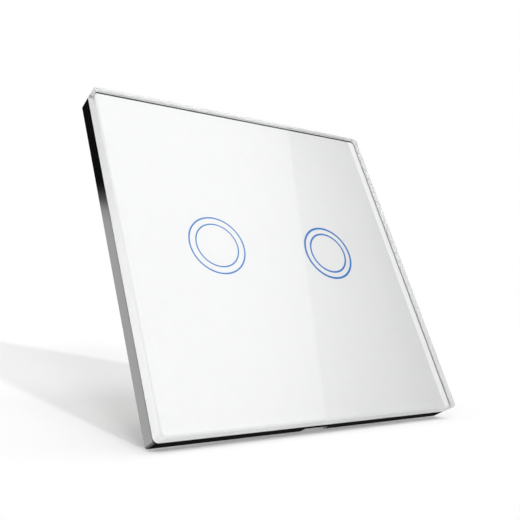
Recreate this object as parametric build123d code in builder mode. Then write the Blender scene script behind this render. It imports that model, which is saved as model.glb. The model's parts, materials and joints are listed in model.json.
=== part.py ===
from build123d import *
import math
import os

# A glass-fronted wall switch with two touch points, each marked by two thin rings.
# Axes: X is right, Z is up and +Y goes into the wall. Y = 0 is the wall's surface,
# so what stands in the room has a negative Y. All lengths are millimetres.

# Front plate: toughened glass, its fired enamel and the frame that it is bonded to
PLATE = 86.0
GLASS = 4.0
GLASS_CORNER = 1.2
GLASS_BEVEL = 0.35
ENAMEL = 0.1
ENAMEL_MARGIN = 0.4
FRAME_DEPTH = 3.9
FRAME_INSET = 0.15
FRAME_CORNER = 0.6
FRAME_WALL = 2.0
FRAME_EDGE = 0.25
LAND_WIDTH = 5.0
LAND_THICKNESS = 1.4
TAPE_WIDTH = 3.0
TAPE_THICKNESS = 0.3
TAPE_EDGE = 1.0
NOTCH_WIDTH = 7.0
NOTCH_HEIGHT = 2.0
GRIP_WIDTH = 8.0
GRIP_THICKNESS = 1.3
GRIP_SPACING = 48.0
GRIP_GAP = 0.1

# Touch marks: two ring lines for each of the two gangs, in from the case's side walls
GANG_INSET = 7.0
GANG_RISE = 2.0
OUTER_RING_RADIUS = 7.55
OUTER_RING_LINE = 0.5
INNER_RING_RADIUS = 5.75
INNER_RING_LINE = 0.42
PRINT_GAP = 0.02

# Mounting yoke: pressed steel, screwed to the wall box through its two slots
YOKE_THICKNESS = 1.2
YOKE_CORNER = 3.0
FIXING_SPACING = 60.3
SLOT_WIDTH = 4.0
SLOT_LENGTH = 6.0
WINDOW_SIDE_GAP = 0.6
WINDOW_END_GAP = 0.4
WINDOW_CORNER = 1.5

# Touch cover, in front of the yoke
COVER_WIDTH = 64.0
COVER_HEIGHT = 60.0
COVER_THICKNESS = 1.5
COVER_CORNER = 3.0
HEAD_ROOM_RADIUS = 4.0
HEAD_ROOM_REACH = 4.0
PEG_RADIUS = 1.5
PEG_INSET = 2.5
MODULE_GAP = 0.3

# Light guides and touch springs
GUIDE_RADIUS = 8.0
GUIDE_BORE = 3.7
STEM_RADIUS = 5.0
GUIDE_GAP = 0.1
POCKET_DEPTH = 1.0
WIRE = 0.5
SPRING_RADIUS = 2.9
SPRING_TURNS = 4

# Rear case
CASE_WIDTH = 52.0
CASE_HEIGHT = 56.0
CASE_DEPTH = 30.0
CASE_WALL = 1.6
CASE_CORNER = 3.0
CASE_EDGE = 0.8
POST_RADIUS = 3.2
POST_INSET = 4.4
POST_LENGTH = 10.0
RIB_WIDTH = 4.0
SIDE_RIB = 1.4
SIDE_RIB_SPACING = 28.0
TOP_RIB = 2.2
TOP_RIB_SPACING = 20.0
VENT_WIDTH = 1.2
VENT_LENGTH = 14.0
VENT_PITCH = 3.0
VENT_COUNT = 6
VENT_BAND = 12.0

# Case screws, put in from the front
SCREW_RADIUS = 1.25
SCREW_LENGTH = 10.0
SCREW_HEAD_RADIUS = 2.4
SCREW_HEAD = 1.2
SCREW_CLEARANCE = 0.2
THREAD_GAP = 0.02
DRIVE_LENGTH = 2.6
DRIVE_WIDTH = 0.6
DRIVE_DEPTH = 0.7

# Circuit boards
BOARD_GAP = 0.3
TOUCH_BOARD_DEPTH = 1.0
TOUCH_BOARD = 1.2
POWER_BOARD = 1.6
LED_LENGTH = 1.6
LED_WIDTH = 0.8
LED_HEIGHT = 0.6
CHIP_LENGTH = 9.9
CHIP_WIDTH = 3.9
CHIP_HEIGHT = 1.5
CHIP_BEVEL = 0.3
HEADER_WAYS = 6
HEADER_PITCH = 2.54
HEADER_HEIGHT = 2.5
HEADER_WIDTH = 2.5
HEADER_INSET = 1.5
PIN = 0.64
PIN_HOLE_RADIUS = 0.5
PIN_TAIL = 0.5
PIN_TIP_GAP = 1.0
SOCKET_FLOOR = 1.0

# Relays, one for each gang
RELAY_SIDE_GAP = 0.35
RELAY_FOOT_GAP = 1.5
RELAY_BACK_GAP = 0.9
RELAY_WIDTH = 15.5
RELAY_LENGTH = 19.0
RELAY_HEIGHT = 15.3
RELAY_WALL = 0.7
RELAY_EDGE = 0.35
RELAY_BASE = 1.8
RELAY_GAP = 0.05
IRON = 1.0
IRON_WIDTH = 10.0
IRON_REACH = 11.1
IRON_INSET = 1.2
CORE_RADIUS = 1.8
CORE_HEAD_RADIUS = 3.0
CORE_HEAD = 0.8
BOBBIN_SIDE = 9.6
BOBBIN_FLANGE = 0.8
BOBBIN_WALL = 0.4
BOBBIN_BORE_GAP = 0.1
BOBBIN_SIDE_GAP = 0.8
WINDING_RADIUS = 4.4
ARMATURE = 0.8
ARMATURE_WIDTH = 9.6
ARMATURE_SWING = 4.0
ARMATURE_TIP_GAP = 1.3
ARMATURE_ROOM = 2.6
LEAF = 0.2
LEAF_WIDTH = 4.0
LEAF_START = 4.6
LEAF_TIP = 1.5
CONTACT_RADIUS = 1.2
CONTACT_THICKNESS = 0.5
STRIP = 0.3
STRIP_WIDTH = 3.0
STRIP_REACH = 2.7
STRIP_INSET = 0.8

# Other parts on the power board
TRANSFORMER_SIDE_GAP = 0.75
TRANSFORMER_FOOT_GAP = 1.6
TRANSFORMER_LENGTH = 12.4
CORE_THICKNESS = 5.0
CORE_LEG = 3.2
CORE_SIDE_LEG = 1.4
CORE_YOKE = 1.8
COIL_OVERHANG = 2.6
COIL_PLATE = 0.7
COIL_EDGE = 1.2
COIL_GAP = 0.1
CAN_RADIUS = 4.0
CAN_HEIGHT = 12.0
CAN_EDGE = 0.4
CAN_GROOVE = 0.4
CAN_GROOVE_HEIGHT = 1.5
CAN_FOOT_GAP = 1.6
FILM_WIDTH = 13.0
FILM_LENGTH = 6.0
FILM_HEIGHT = 12.0
FILM_EDGE = 0.4
FILM_BEVEL = 0.2
FILM_SIDE_GAP = 2.5
TOP_ROW_RISE = 14.6
DISC_RADIUS = 4.5
DISC_THICKNESS = 3.6
DISC_EDGE = 1.2
DISC_LEAD = 0.7
DISC_LEAD_SPACING = 5.0
DISC_LEAD_SINK = 2.2
DISC_STAND = 1.2
FUSE_RADIUS = 4.2
FUSE_HEIGHT = 8.0
FUSE_EDGE = 0.4
FUSE_SIDE_GAP = 3.8

# Terminal block: four poles with rising cages, screws reached from behind. A setback is
# how far in front of the case's floor the thing starts
POLES = 4
POLE_PITCH = 8.6
BLOCK_END = 0.7
BLOCK_HEIGHT = 12.0
BLOCK_GAP = 0.2
CHAMBER_WIDTH = 6.6
CHAMBER_HEIGHT = 7.2
CHAMBER_SETBACK = 3.9
CAGE_WIDTH = 6.2
CAGE_LENGTH = 6.4
CAGE_WALL = 0.9
CAGE_EDGE = 0.4
CAGE_SETBACK = 14.6
CAGE_BAR = 1.0
CAGE_MOUTH = 4.8
CAGE_NUT = 1.6
TONGUE = 1.0
TONGUE_WIDTH = 4.0
TONGUE_SETBACK = 10.2
TONGUE_RISE = 4.8
TONGUE_FALL = 3.0
TONGUE_GAP = 0.05
TONGUE_PIN = 1.0
TONGUE_HOLE_RADIUS = 0.8
TONGUE_TAIL = 0.6
TERMINAL_SCREW_RADIUS = 1.5
TERMINAL_HEAD_RADIUS = 2.2
TERMINAL_HEAD = 1.8
TERMINAL_HEAD_SETBACK = 3.2
TERMINAL_SCREW_GAP = 0.05
DRIVER_HOLE_RADIUS = 2.5
DRIVER_SLOT = 0.8
DRIVER_SLOT_DEPTH = 0.9
WIRE_MOUTH_WIDTH = 3.9
WIRE_MOUTH_DEPTH = 3.2
BLOCK_LIP = 1.0
SEAT_GAP = 0.05

# Depths that follow from the stack
ENAMEL_BACK = -FRAME_DEPTH
GLASS_BACK = ENAMEL_BACK - ENAMEL
LAND_BACK = LAND_THICKNESS - FRAME_DEPTH
COVER_BACK = -YOKE_THICKNESS
COVER_FRONT = COVER_BACK - COVER_THICKNESS
MODULE_FRONT = ENAMEL_BACK + MODULE_GAP
POCKET_FLOOR = COVER_FRONT + POCKET_DEPTH
STEM_END = TOUCH_BOARD_DEPTH - LED_HEIGHT - SEAT_GAP
TOUCH_BOARD_BACK = TOUCH_BOARD_DEPTH + TOUCH_BOARD
CASE_FLOOR = CASE_DEPTH - CASE_WALL
POWER_BOARD_BACK = CASE_FLOOR - RELAY_BACK_GAP - RELAY_HEIGHT
POWER_BOARD_DEPTH = POWER_BOARD_BACK - POWER_BOARD
IRON_HEIGHT = RELAY_HEIGHT - RELAY_WALL - RELAY_BASE - ARMATURE_ROOM
CHAMBER_END = CASE_FLOOR - CHAMBER_SETBACK
CAGE_START = CASE_FLOOR - CAGE_SETBACK
TONGUE_START = CASE_FLOOR - TONGUE_SETBACK
TERMINAL_HEAD_START = CASE_FLOOR - TERMINAL_HEAD_SETBACK
WIRE_DEPTH = (CAGE_START + CAGE_BAR + TONGUE_START) / 2
HEAD_SLOPE = math.degrees(math.atan((SCREW_HEAD_RADIUS - SCREW_RADIUS) / SCREW_HEAD))

# Widths that follow
FRAME_SIDE = PLATE - 2 * FRAME_INSET
FRAME_INSIDE = FRAME_SIDE - 2 * FRAME_WALL
LAND_OPENING = FRAME_SIDE - 2 * LAND_WIDTH
YOKE_SIDE = FRAME_INSIDE - 2 * (GRIP_THICKNESS + GRIP_GAP)
CASE_INSIDE_WIDTH = CASE_WIDTH - 2 * CASE_WALL
CASE_INSIDE_HEIGHT = CASE_HEIGHT - 2 * CASE_WALL
POST_SPACING_X = CASE_WIDTH - 2 * POST_INSET
POST_SPACING_Z = CASE_HEIGHT - 2 * POST_INSET
BOARD_WAIST = POST_SPACING_X - 2 * (POST_RADIUS + BOARD_GAP)
BOARD_SHOULDER = POST_SPACING_Z - 2 * (POST_RADIUS + BOARD_GAP)
TOUCH_BOARD_WIDTH = CASE_INSIDE_WIDTH - 2 * BOARD_GAP
POWER_BOARD_WIDTH = CASE_INSIDE_WIDTH - 2 * (SIDE_RIB + BOARD_GAP)
POWER_BOARD_HEIGHT = CASE_INSIDE_HEIGHT - 2 * BOARD_GAP
GANG_SPACING = CASE_INSIDE_WIDTH - 2 * GANG_INSET
YOKE_WINDOW_WIDTH = GANG_SPACING + 2 * (STEM_RADIUS + WINDOW_SIDE_GAP)
YOKE_WINDOW_HEIGHT = POST_SPACING_Z - 2 * (POST_RADIUS + WINDOW_END_GAP)

# Places on the power board, upwards from the terminal block and in from the side ribs
BLOCK_WIDTH = POLES * POLE_PITCH + 2 * BLOCK_END
BLOCK_BOTTOM = BLOCK_GAP - CASE_INSIDE_HEIGHT / 2
BLOCK_MIDDLE = BLOCK_BOTTOM + BLOCK_HEIGHT / 2
BLOCK_TOP = BLOCK_BOTTOM + BLOCK_HEIGHT
RIB_SPACE = CASE_INSIDE_WIDTH - 2 * SIDE_RIB
RELAY_MIDDLE = BLOCK_TOP + RELAY_FOOT_GAP + RELAY_LENGTH / 2
RELAY_SPACING = RIB_SPACE - 2 * RELAY_SIDE_GAP - RELAY_WIDTH
TRANSFORMER_WIDTH = RELAY_SPACING - RELAY_WIDTH - 2 * TRANSFORMER_SIDE_GAP
TRANSFORMER_MIDDLE = BLOCK_TOP + TRANSFORMER_FOOT_GAP + TRANSFORMER_LENGTH / 2
CAN_MIDDLE = TRANSFORMER_MIDDLE + TRANSFORMER_LENGTH / 2 + CAN_FOOT_GAP + CAN_RADIUS
FILM_SIDE = (RIB_SPACE - FILM_WIDTH) / 2 - FILM_SIDE_GAP
FUSE_SIDE = RIB_SPACE / 2 - FUSE_SIDE_GAP - FUSE_RADIUS
HEADER_RISE = BOARD_SHOULDER / 2 - HEADER_INSET
GANG_PLACES = {"left": -GANG_SPACING / 2, "right": GANG_SPACING / 2}
RELAY_PLACES = {"left": -RELAY_SPACING / 2, "right": RELAY_SPACING / 2}
POLE_PLACES = [(pole - (POLES - 1) / 2) * POLE_PITCH for pole in range(POLES)]

os.makedirs("parts", exist_ok=True)


def facing_room(depth, x=0, z=0):
    """Sketch plane parallel to the wall at this depth, with X right and Z up.

    A positive extrusion grows towards the room and a negative one into the wall.
    """
    return Plane(origin=(x, depth, z), x_dir=(1, 0, 0), z_dir=(0, -1, 0))


def keep(builder, label):
    """Name a finished piece and write it out."""
    builder.part.label = label
    export_step(builder.part, f"parts/{label}.step")


def ring_lines(place, gap, line, space):
    """The two ring lines of a touch mark, drawn outer ring first."""
    with Locations(place):
        for radius, width in (
            (OUTER_RING_RADIUS, OUTER_RING_LINE),
            (INNER_RING_RADIUS, INNER_RING_LINE),
        ):
            Circle(radius + width / 2 + gap, mode=line)
            Circle(radius - width / 2 - gap, mode=space)


# Glass panel: float glass, ground and seamed all round
with BuildPart() as glass_panel:
    with BuildSketch(facing_room(GLASS_BACK)):
        RectangleRounded(PLATE, PLATE, GLASS_CORNER)
    extrude(amount=GLASS)
    glass_faces = glass_panel.faces().sort_by(Axis.Y)
    chamfer(glass_faces[0].edges() + glass_faces[-1].edges(), GLASS_BEVEL)
keep(glass_panel, "glass_panel")

# Enamel backing: an opaque coat on the back of the glass, open where the rings show
with BuildPart() as enamel_backing:
    with BuildSketch(facing_room(ENAMEL_BACK)):
        enamel_side = PLATE - 2 * ENAMEL_MARGIN
        RectangleRounded(enamel_side, enamel_side, GLASS_CORNER - ENAMEL_MARGIN)
        for gang_x in GANG_PLACES.values():
            ring_lines((gang_x, GANG_RISE), PRINT_GAP, Mode.SUBTRACT, Mode.ADD)
    extrude(amount=ENAMEL)
keep(enamel_backing, "enamel_backing")

# Ring prints: translucent ink lines that fill the windows in the enamel
for side, gang_x in GANG_PLACES.items():
    with BuildPart() as ring_print:
        with BuildSketch(facing_room(ENAMEL_BACK)):
            ring_lines((gang_x, GANG_RISE), 0, Mode.ADD, Mode.SUBTRACT)
        extrude(amount=ENAMEL)
    keep(ring_print, f"ring_print_{side}")

# Bonding tape: a square ring of double-sided tape in the frame's groove
tape_side = FRAME_SIDE - 2 * TAPE_EDGE
with BuildPart() as bonding_tape:
    with BuildSketch(facing_room(ENAMEL_BACK + TAPE_THICKNESS)):
        Rectangle(tape_side, tape_side)
        Rectangle(tape_side - 2 * TAPE_WIDTH, tape_side - 2 * TAPE_WIDTH, mode=Mode.SUBTRACT)
    extrude(amount=TAPE_THICKNESS)
keep(bonding_tape, "bonding_tape")

# Panel frame: the rim round the module, with a land for the tape, four grip ribs that
# hold the yoke's edges, and a notch below to lever the panel off
with BuildPart() as panel_frame:
    with BuildSketch(facing_room(0)):
        RectangleRounded(FRAME_SIDE, FRAME_SIDE, FRAME_CORNER)
        Rectangle(LAND_OPENING, LAND_OPENING, mode=Mode.SUBTRACT)
    extrude(amount=FRAME_DEPTH)
    fillet(panel_frame.faces().sort_by(Axis.Y)[-1].outer_wire().edges(), FRAME_EDGE)
    with BuildSketch(facing_room(0)):
        Rectangle(FRAME_INSIDE, FRAME_INSIDE)
    extrude(amount=-LAND_BACK, mode=Mode.SUBTRACT)
    with BuildSketch(facing_room(ENAMEL_BACK + TAPE_THICKNESS)):
        Rectangle(tape_side, tape_side)
        Rectangle(tape_side - 2 * TAPE_WIDTH, tape_side - 2 * TAPE_WIDTH, mode=Mode.SUBTRACT)
    extrude(amount=TAPE_THICKNESS, mode=Mode.SUBTRACT)
    with BuildSketch(facing_room(0)):
        with GridLocations(FRAME_INSIDE - GRIP_THICKNESS, GRIP_SPACING, 2, 2):
            Rectangle(GRIP_THICKNESS, GRIP_WIDTH)
    extrude(amount=-LAND_BACK)
    with BuildSketch(facing_room(0)):
        with Locations((0, -(FRAME_INSIDE + FRAME_SIDE) / 4)):
            Rectangle(NOTCH_WIDTH, FRAME_WALL)
    extrude(amount=NOTCH_HEIGHT, mode=Mode.SUBTRACT)
keep(panel_frame, "panel_frame")

# Mounting yoke: a square plate against the wall, with a slot each side for the box screws
with BuildPart() as mounting_yoke:
    with BuildSketch(facing_room(0)):
        RectangleRounded(YOKE_SIDE, YOKE_SIDE, YOKE_CORNER)
        RectangleRounded(YOKE_WINDOW_WIDTH, YOKE_WINDOW_HEIGHT, WINDOW_CORNER, mode=Mode.SUBTRACT)
        with GridLocations(FIXING_SPACING, 0, 2, 1):
            SlotOverall(SLOT_LENGTH, SLOT_WIDTH, mode=Mode.SUBTRACT)
        with GridLocations(POST_SPACING_X, POST_SPACING_Z, 2, 2):
            Circle(SCREW_RADIUS + SCREW_CLEARANCE, mode=Mode.SUBTRACT)
    extrude(amount=YOKE_THICKNESS)
keep(mounting_yoke, "mounting_yoke")

# Touch cover: carries the light guides, and leaves room for the heads of the box screws
with BuildPart() as touch_cover:
    with BuildSketch(facing_room(COVER_BACK)):
        RectangleRounded(COVER_WIDTH, COVER_HEIGHT, COVER_CORNER)
        with GridLocations(FIXING_SPACING + HEAD_ROOM_REACH, 0, 2, 1):
            SlotCenterToCenter(HEAD_ROOM_REACH, 2 * HEAD_ROOM_RADIUS, mode=Mode.SUBTRACT)
        with GridLocations(GANG_SPACING, 0, 2, 1):
            with Locations((0, GANG_RISE)):
                Circle(STEM_RADIUS + GUIDE_GAP, mode=Mode.SUBTRACT)
    extrude(amount=COVER_THICKNESS)
    with BuildSketch(facing_room(POCKET_FLOOR)):
        with GridLocations(GANG_SPACING, 0, 2, 1):
            with Locations((0, GANG_RISE)):
                Circle(GUIDE_RADIUS + GUIDE_GAP)
    extrude(amount=POCKET_DEPTH, mode=Mode.SUBTRACT)
    with BuildSketch(facing_room(TOUCH_BOARD_DEPTH)):
        with GridLocations(
            YOKE_WINDOW_WIDTH - 2 * PEG_INSET, YOKE_WINDOW_HEIGHT - 2 * PEG_INSET, 2, 2
        ):
            Circle(PEG_RADIUS)
    extrude(amount=TOUCH_BOARD_DEPTH - COVER_BACK)
    with Locations(facing_room(COVER_FRONT)):
        with GridLocations(POST_SPACING_X, POST_SPACING_Z, 2, 2):
            CounterSinkHole(
                SCREW_RADIUS + SCREW_CLEARANCE,
                SCREW_HEAD_RADIUS + SCREW_CLEARANCE,
                counter_sink_angle=2 * HEAD_SLOPE,
            )
keep(touch_cover, "touch_cover")

# Light guides: clear discs that sit in the cover's pockets, with a stem over the lamps
for side, gang_x in GANG_PLACES.items():
    with BuildPart() as light_guide:
        with BuildSketch(facing_room(POCKET_FLOOR, gang_x, GANG_RISE)):
            Circle(GUIDE_RADIUS)
        extrude(amount=POCKET_FLOOR - MODULE_FRONT)
        with BuildSketch(facing_room(STEM_END, gang_x, GANG_RISE)):
            Circle(STEM_RADIUS)
        extrude(amount=STEM_END - POCKET_FLOOR)
        with BuildSketch(facing_room(STEM_END, gang_x, GANG_RISE)):
            Circle(GUIDE_BORE)
        extrude(amount=STEM_END - MODULE_FRONT, mode=Mode.SUBTRACT)
    keep(light_guide, f"light_guide_{side}")


def coil_point(quarter, middle, rise):
    """Point on the spring's centre line after this many quarter turns."""
    angle = quarter * math.pi / 2
    x, start, z = middle
    return Vector(
        x + SPRING_RADIUS * math.cos(angle),
        start - rise * quarter,
        z + SPRING_RADIUS * math.sin(angle),
    )


def coil_heading(quarter, rise):
    """Unit direction of the spring's centre line there."""
    angle = quarter * math.pi / 2
    around = SPRING_RADIUS * math.pi / 2
    return Vector(
        -around * math.sin(angle), -rise, around * math.cos(angle)
    ).normalized()


def quarter_turn(quarter, middle, rise):
    """Two tangent arcs that carry the wire round one quarter turn."""
    start = coil_point(quarter, middle, rise)
    end = coil_point(quarter + 1, middle, rise)
    leave = coil_heading(quarter, rise)
    arrive = coil_heading(quarter + 1, rise)
    span = end - start
    along = span.dot(leave + arrive)
    turn = 2 * (1 - leave.dot(arrive))
    reach = (math.sqrt(along**2 + turn * span.dot(span)) - along) / turn
    join = (start + end + (leave - arrive) * reach) * 0.5
    TangentArc(start, join, tangent=leave)
    TangentArc(join, end, tangent=(end - arrive * reach) - (start + leave * reach))


# Touch springs: round wire coils between the touch board and the back of the plate
spring_start = TOUCH_BOARD_DEPTH - WIRE / 2
spring_rise = (spring_start - MODULE_FRONT - WIRE / 2) / (4 * SPRING_TURNS)
turn_points = [
    coil_point(step / 8, (0, 0, 0), spring_rise) for step in range(32 * SPRING_TURNS + 1)
]
turn_gap = min(
    (far - near).length
    for place, near in enumerate(turn_points)
    for far in turn_points[place + 16:]
)
print(f"touch spring: least gap between turns {turn_gap - WIRE:.2f}")
for side, gang_x in GANG_PLACES.items():
    spring_middle = (gang_x, spring_start, GANG_RISE)
    with BuildPart() as touch_spring:
        with BuildLine() as wire_path:
            for quarter in range(4 * SPRING_TURNS):
                quarter_turn(quarter, spring_middle, spring_rise)
        with BuildSketch(
            Plane(
                origin=coil_point(0, spring_middle, spring_rise),
                z_dir=coil_heading(0, spring_rise),
            )
        ):
            Circle(WIRE / 2)
        sweep(path=wire_path.wire())
    keep(touch_spring, f"touch_spring_{side}")

# Touch board, with its sensing chip behind and two lamps for each gang in front
with BuildPart() as touch_board:
    with BuildSketch(facing_room(TOUCH_BOARD_BACK)):
        Rectangle(TOUCH_BOARD_WIDTH, BOARD_SHOULDER)
    extrude(amount=TOUCH_BOARD)
keep(touch_board, "touch_board")

with BuildPart() as touch_chip:
    with BuildSketch(facing_room(TOUCH_BOARD_BACK)):
        Rectangle(CHIP_LENGTH, CHIP_WIDTH)
    extrude(amount=-CHIP_HEIGHT)
    chamfer(touch_chip.faces().sort_by(Axis.Y)[-1].edges(), CHIP_BEVEL)
keep(touch_chip, "touch_chip")

with BuildPart() as gang_lamps:
    with BuildSketch(facing_room(TOUCH_BOARD_DEPTH, 0, GANG_RISE)):
        with GridLocations(GANG_SPACING, 0, 2, 1):
            with GridLocations(STEM_RADIUS + GUIDE_BORE, 0, 2, 1):
                Rectangle(LED_WIDTH, LED_LENGTH)
    extrude(amount=LED_HEIGHT)
keep(gang_lamps, "gang_lamps")

# Board connector: a socket on the touch board and a pin strip on the power board
header_length = HEADER_WAYS * HEADER_PITCH
strip_front = POWER_BOARD_DEPTH - HEADER_HEIGHT
socket_back = strip_front - SEAT_GAP
with BuildPart() as header_socket:
    with BuildSketch(facing_room(socket_back, 0, HEADER_RISE)):
        Rectangle(header_length, HEADER_WIDTH)
    extrude(amount=socket_back - TOUCH_BOARD_BACK)
    with BuildSketch(facing_room(socket_back, 0, HEADER_RISE)):
        with GridLocations(HEADER_PITCH, 0, HEADER_WAYS, 1):
            Circle(PIN_HOLE_RADIUS)
    extrude(
        amount=socket_back - TOUCH_BOARD_BACK - SOCKET_FLOOR, mode=Mode.SUBTRACT
    )
keep(header_socket, "header_socket")

with BuildPart() as header_strip:
    with BuildSketch(facing_room(POWER_BOARD_DEPTH, 0, HEADER_RISE)):
        Rectangle(header_length, HEADER_WIDTH)
        with GridLocations(HEADER_PITCH, 0, HEADER_WAYS, 1):
            Circle(PIN_HOLE_RADIUS, mode=Mode.SUBTRACT)
    extrude(amount=HEADER_HEIGHT)
keep(header_strip, "header_strip")

pin_front = TOUCH_BOARD_BACK + SOCKET_FLOOR + PIN_TIP_GAP
with BuildPart() as header_pins:
    with BuildSketch(facing_room(pin_front, 0, HEADER_RISE)):
        with GridLocations(HEADER_PITCH, 0, HEADER_WAYS, 1):
            Rectangle(PIN, PIN)
    extrude(amount=pin_front - POWER_BOARD_BACK - PIN_TAIL)
keep(header_pins, "header_pins")

# Power board: notched at the corners to pass the screw posts
tongue_leg_z = BLOCK_MIDDLE + TONGUE_RISE - TONGUE / 2
with BuildPart() as power_board:
    with BuildSketch(facing_room(POWER_BOARD_BACK)):
        Rectangle(POWER_BOARD_WIDTH, BOARD_SHOULDER)
        Rectangle(BOARD_WAIST, POWER_BOARD_HEIGHT)
        with Locations((0, HEADER_RISE)):
            with GridLocations(HEADER_PITCH, 0, HEADER_WAYS, 1):
                Circle(PIN_HOLE_RADIUS, mode=Mode.SUBTRACT)
        with Locations(*[(pole_x, tongue_leg_z) for pole_x in POLE_PLACES]):
            Circle(TONGUE_HOLE_RADIUS, mode=Mode.SUBTRACT)
    extrude(amount=POWER_BOARD)
keep(power_board, "power_board")

# Relays: sealed, each with a hinged armature that closes one lamp's circuit
relay_top = POWER_BOARD_BACK + RELAY_HEIGHT
base_top = POWER_BOARD_BACK + RELAY_BASE
iron_top = base_top + IRON_HEIGHT
bobbin_start = base_top + IRON
bobbin_end = iron_top - CORE_HEAD
barrel_radius = CORE_RADIUS + BOBBIN_BORE_GAP + BOBBIN_WALL
base_width = RELAY_WIDTH - 2 * (RELAY_WALL + RELAY_GAP)
base_length = RELAY_LENGTH - 2 * (RELAY_WALL + RELAY_GAP)
hinge_z = RELAY_MIDDLE + RELAY_LENGTH / 2 - RELAY_WALL - IRON_INSET
coil_z = hinge_z - IRON - BOBBIN_SIDE_GAP - BOBBIN_SIDE / 2
strip_z = RELAY_MIDDLE - RELAY_LENGTH / 2 + RELAY_WALL + STRIP_INSET + STRIP / 2
contact_z = strip_z + STRIP_REACH / 2
contact_arm = hinge_z - contact_z
armature_length = contact_arm - CONTACT_RADIUS - ARMATURE_TIP_GAP
leaf_length = contact_arm + LEAF_TIP - LEAF_START
contact_face = iron_top + ARMATURE - CONTACT_THICKNESS
strip_top = contact_face - CONTACT_THICKNESS
for side, relay_x in RELAY_PLACES.items():
    with BuildPart() as relay_base:
        with BuildSketch(facing_room(POWER_BOARD_BACK, relay_x, RELAY_MIDDLE)):
            Rectangle(base_width, base_length)
        extrude(amount=-RELAY_BASE)
    keep(relay_base, f"relay_base_{side}")

    with BuildPart() as relay_iron:
        with BuildSketch(facing_room(base_top, relay_x, hinge_z - IRON_REACH / 2)):
            Rectangle(IRON_WIDTH, IRON_REACH)
        extrude(amount=-IRON)
        with BuildSketch(facing_room(base_top, relay_x, hinge_z - IRON / 2)):
            Rectangle(IRON_WIDTH, IRON)
        extrude(amount=-IRON_HEIGHT)
        with BuildSketch(facing_room(base_top, relay_x, coil_z)):
            Circle(CORE_RADIUS)
        extrude(amount=-IRON_HEIGHT)
        with BuildSketch(facing_room(iron_top, relay_x, coil_z)):
            Circle(CORE_HEAD_RADIUS)
        extrude(amount=CORE_HEAD)
    keep(relay_iron, f"relay_iron_{side}")

    with BuildPart() as relay_bobbin:
        with BuildSketch(facing_room(bobbin_start, relay_x, coil_z)):
            Rectangle(BOBBIN_SIDE, BOBBIN_SIDE)
        extrude(amount=-BOBBIN_FLANGE)
        with BuildSketch(facing_room(bobbin_end, relay_x, coil_z)):
            Rectangle(BOBBIN_SIDE, BOBBIN_SIDE)
        extrude(amount=BOBBIN_FLANGE)
        with BuildSketch(facing_room(bobbin_start, relay_x, coil_z)):
            Circle(barrel_radius)
        extrude(amount=bobbin_start - bobbin_end)
        with BuildSketch(facing_room(bobbin_start, relay_x, coil_z)):
            Circle(CORE_RADIUS + BOBBIN_BORE_GAP)
        extrude(amount=bobbin_start - bobbin_end, mode=Mode.SUBTRACT)
    keep(relay_bobbin, f"relay_bobbin_{side}")

    with BuildPart() as relay_winding:
        with BuildSketch(facing_room(bobbin_start + BOBBIN_FLANGE, relay_x, coil_z)):
            Circle(WINDING_RADIUS)
            Circle(barrel_radius, mode=Mode.SUBTRACT)
        extrude(amount=bobbin_start - bobbin_end + 2 * BOBBIN_FLANGE)
    keep(relay_winding, f"relay_winding_{side}")

    # The armature stands open by its swing, so it is drawn on planes tilted at the hinge
    swing = math.radians(ARMATURE_SWING)
    armature_plane = Plane(
        origin=(relay_x, iron_top + SEAT_GAP, hinge_z),
        x_dir=(1, 0, 0),
        z_dir=(0, -math.cos(swing), -math.sin(swing)),
    )
    with BuildPart() as relay_armature:
        with BuildSketch(armature_plane):
            with Locations((0, -armature_length / 2)):
                Rectangle(ARMATURE_WIDTH, armature_length)
        extrude(amount=-ARMATURE)
        with BuildSketch(armature_plane.offset(-ARMATURE)):
            with Locations((0, -LEAF_START - leaf_length / 2)):
                Rectangle(LEAF_WIDTH, leaf_length)
        extrude(amount=-LEAF)
        with BuildSketch(armature_plane.offset(-ARMATURE)):
            with Locations((0, -contact_arm)):
                Circle(CONTACT_RADIUS)
        extrude(amount=CONTACT_THICKNESS)
    keep(relay_armature, f"relay_armature_{side}")

    # Fixed contact: a strip up the end of the base, its tip bent under the moving one
    with BuildPart() as relay_contact:
        with BuildSketch(facing_room(base_top, relay_x, strip_z)):
            Rectangle(STRIP_WIDTH, STRIP)
        extrude(amount=base_top - strip_top)
        with BuildSketch(facing_room(strip_top, relay_x, strip_z + STRIP_REACH / 2)):
            Rectangle(STRIP_WIDTH, STRIP_REACH + STRIP)
        extrude(amount=STRIP)
        with BuildSketch(facing_room(strip_top, relay_x, contact_z)):
            Circle(CONTACT_RADIUS)
        extrude(amount=-CONTACT_THICKNESS)
    keep(relay_contact, f"relay_contact_{side}")

    with BuildPart() as relay_cover:
        with BuildSketch(facing_room(relay_top, relay_x, RELAY_MIDDLE)):
            Rectangle(RELAY_WIDTH, RELAY_LENGTH)
        extrude(amount=RELAY_HEIGHT)
        fillet(
            relay_cover.edges().filter_by(Axis.Y)
            + relay_cover.faces().sort_by(Axis.Y)[-1].edges(),
            RELAY_EDGE,
        )
        with BuildSketch(facing_room(POWER_BOARD_BACK, relay_x, RELAY_MIDDLE)):
            Rectangle(RELAY_WIDTH - 2 * RELAY_WALL, RELAY_LENGTH - 2 * RELAY_WALL)
        extrude(amount=RELAY_WALL - RELAY_HEIGHT, mode=Mode.SUBTRACT)
    keep(relay_cover, f"relay_cover_{side}")

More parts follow.
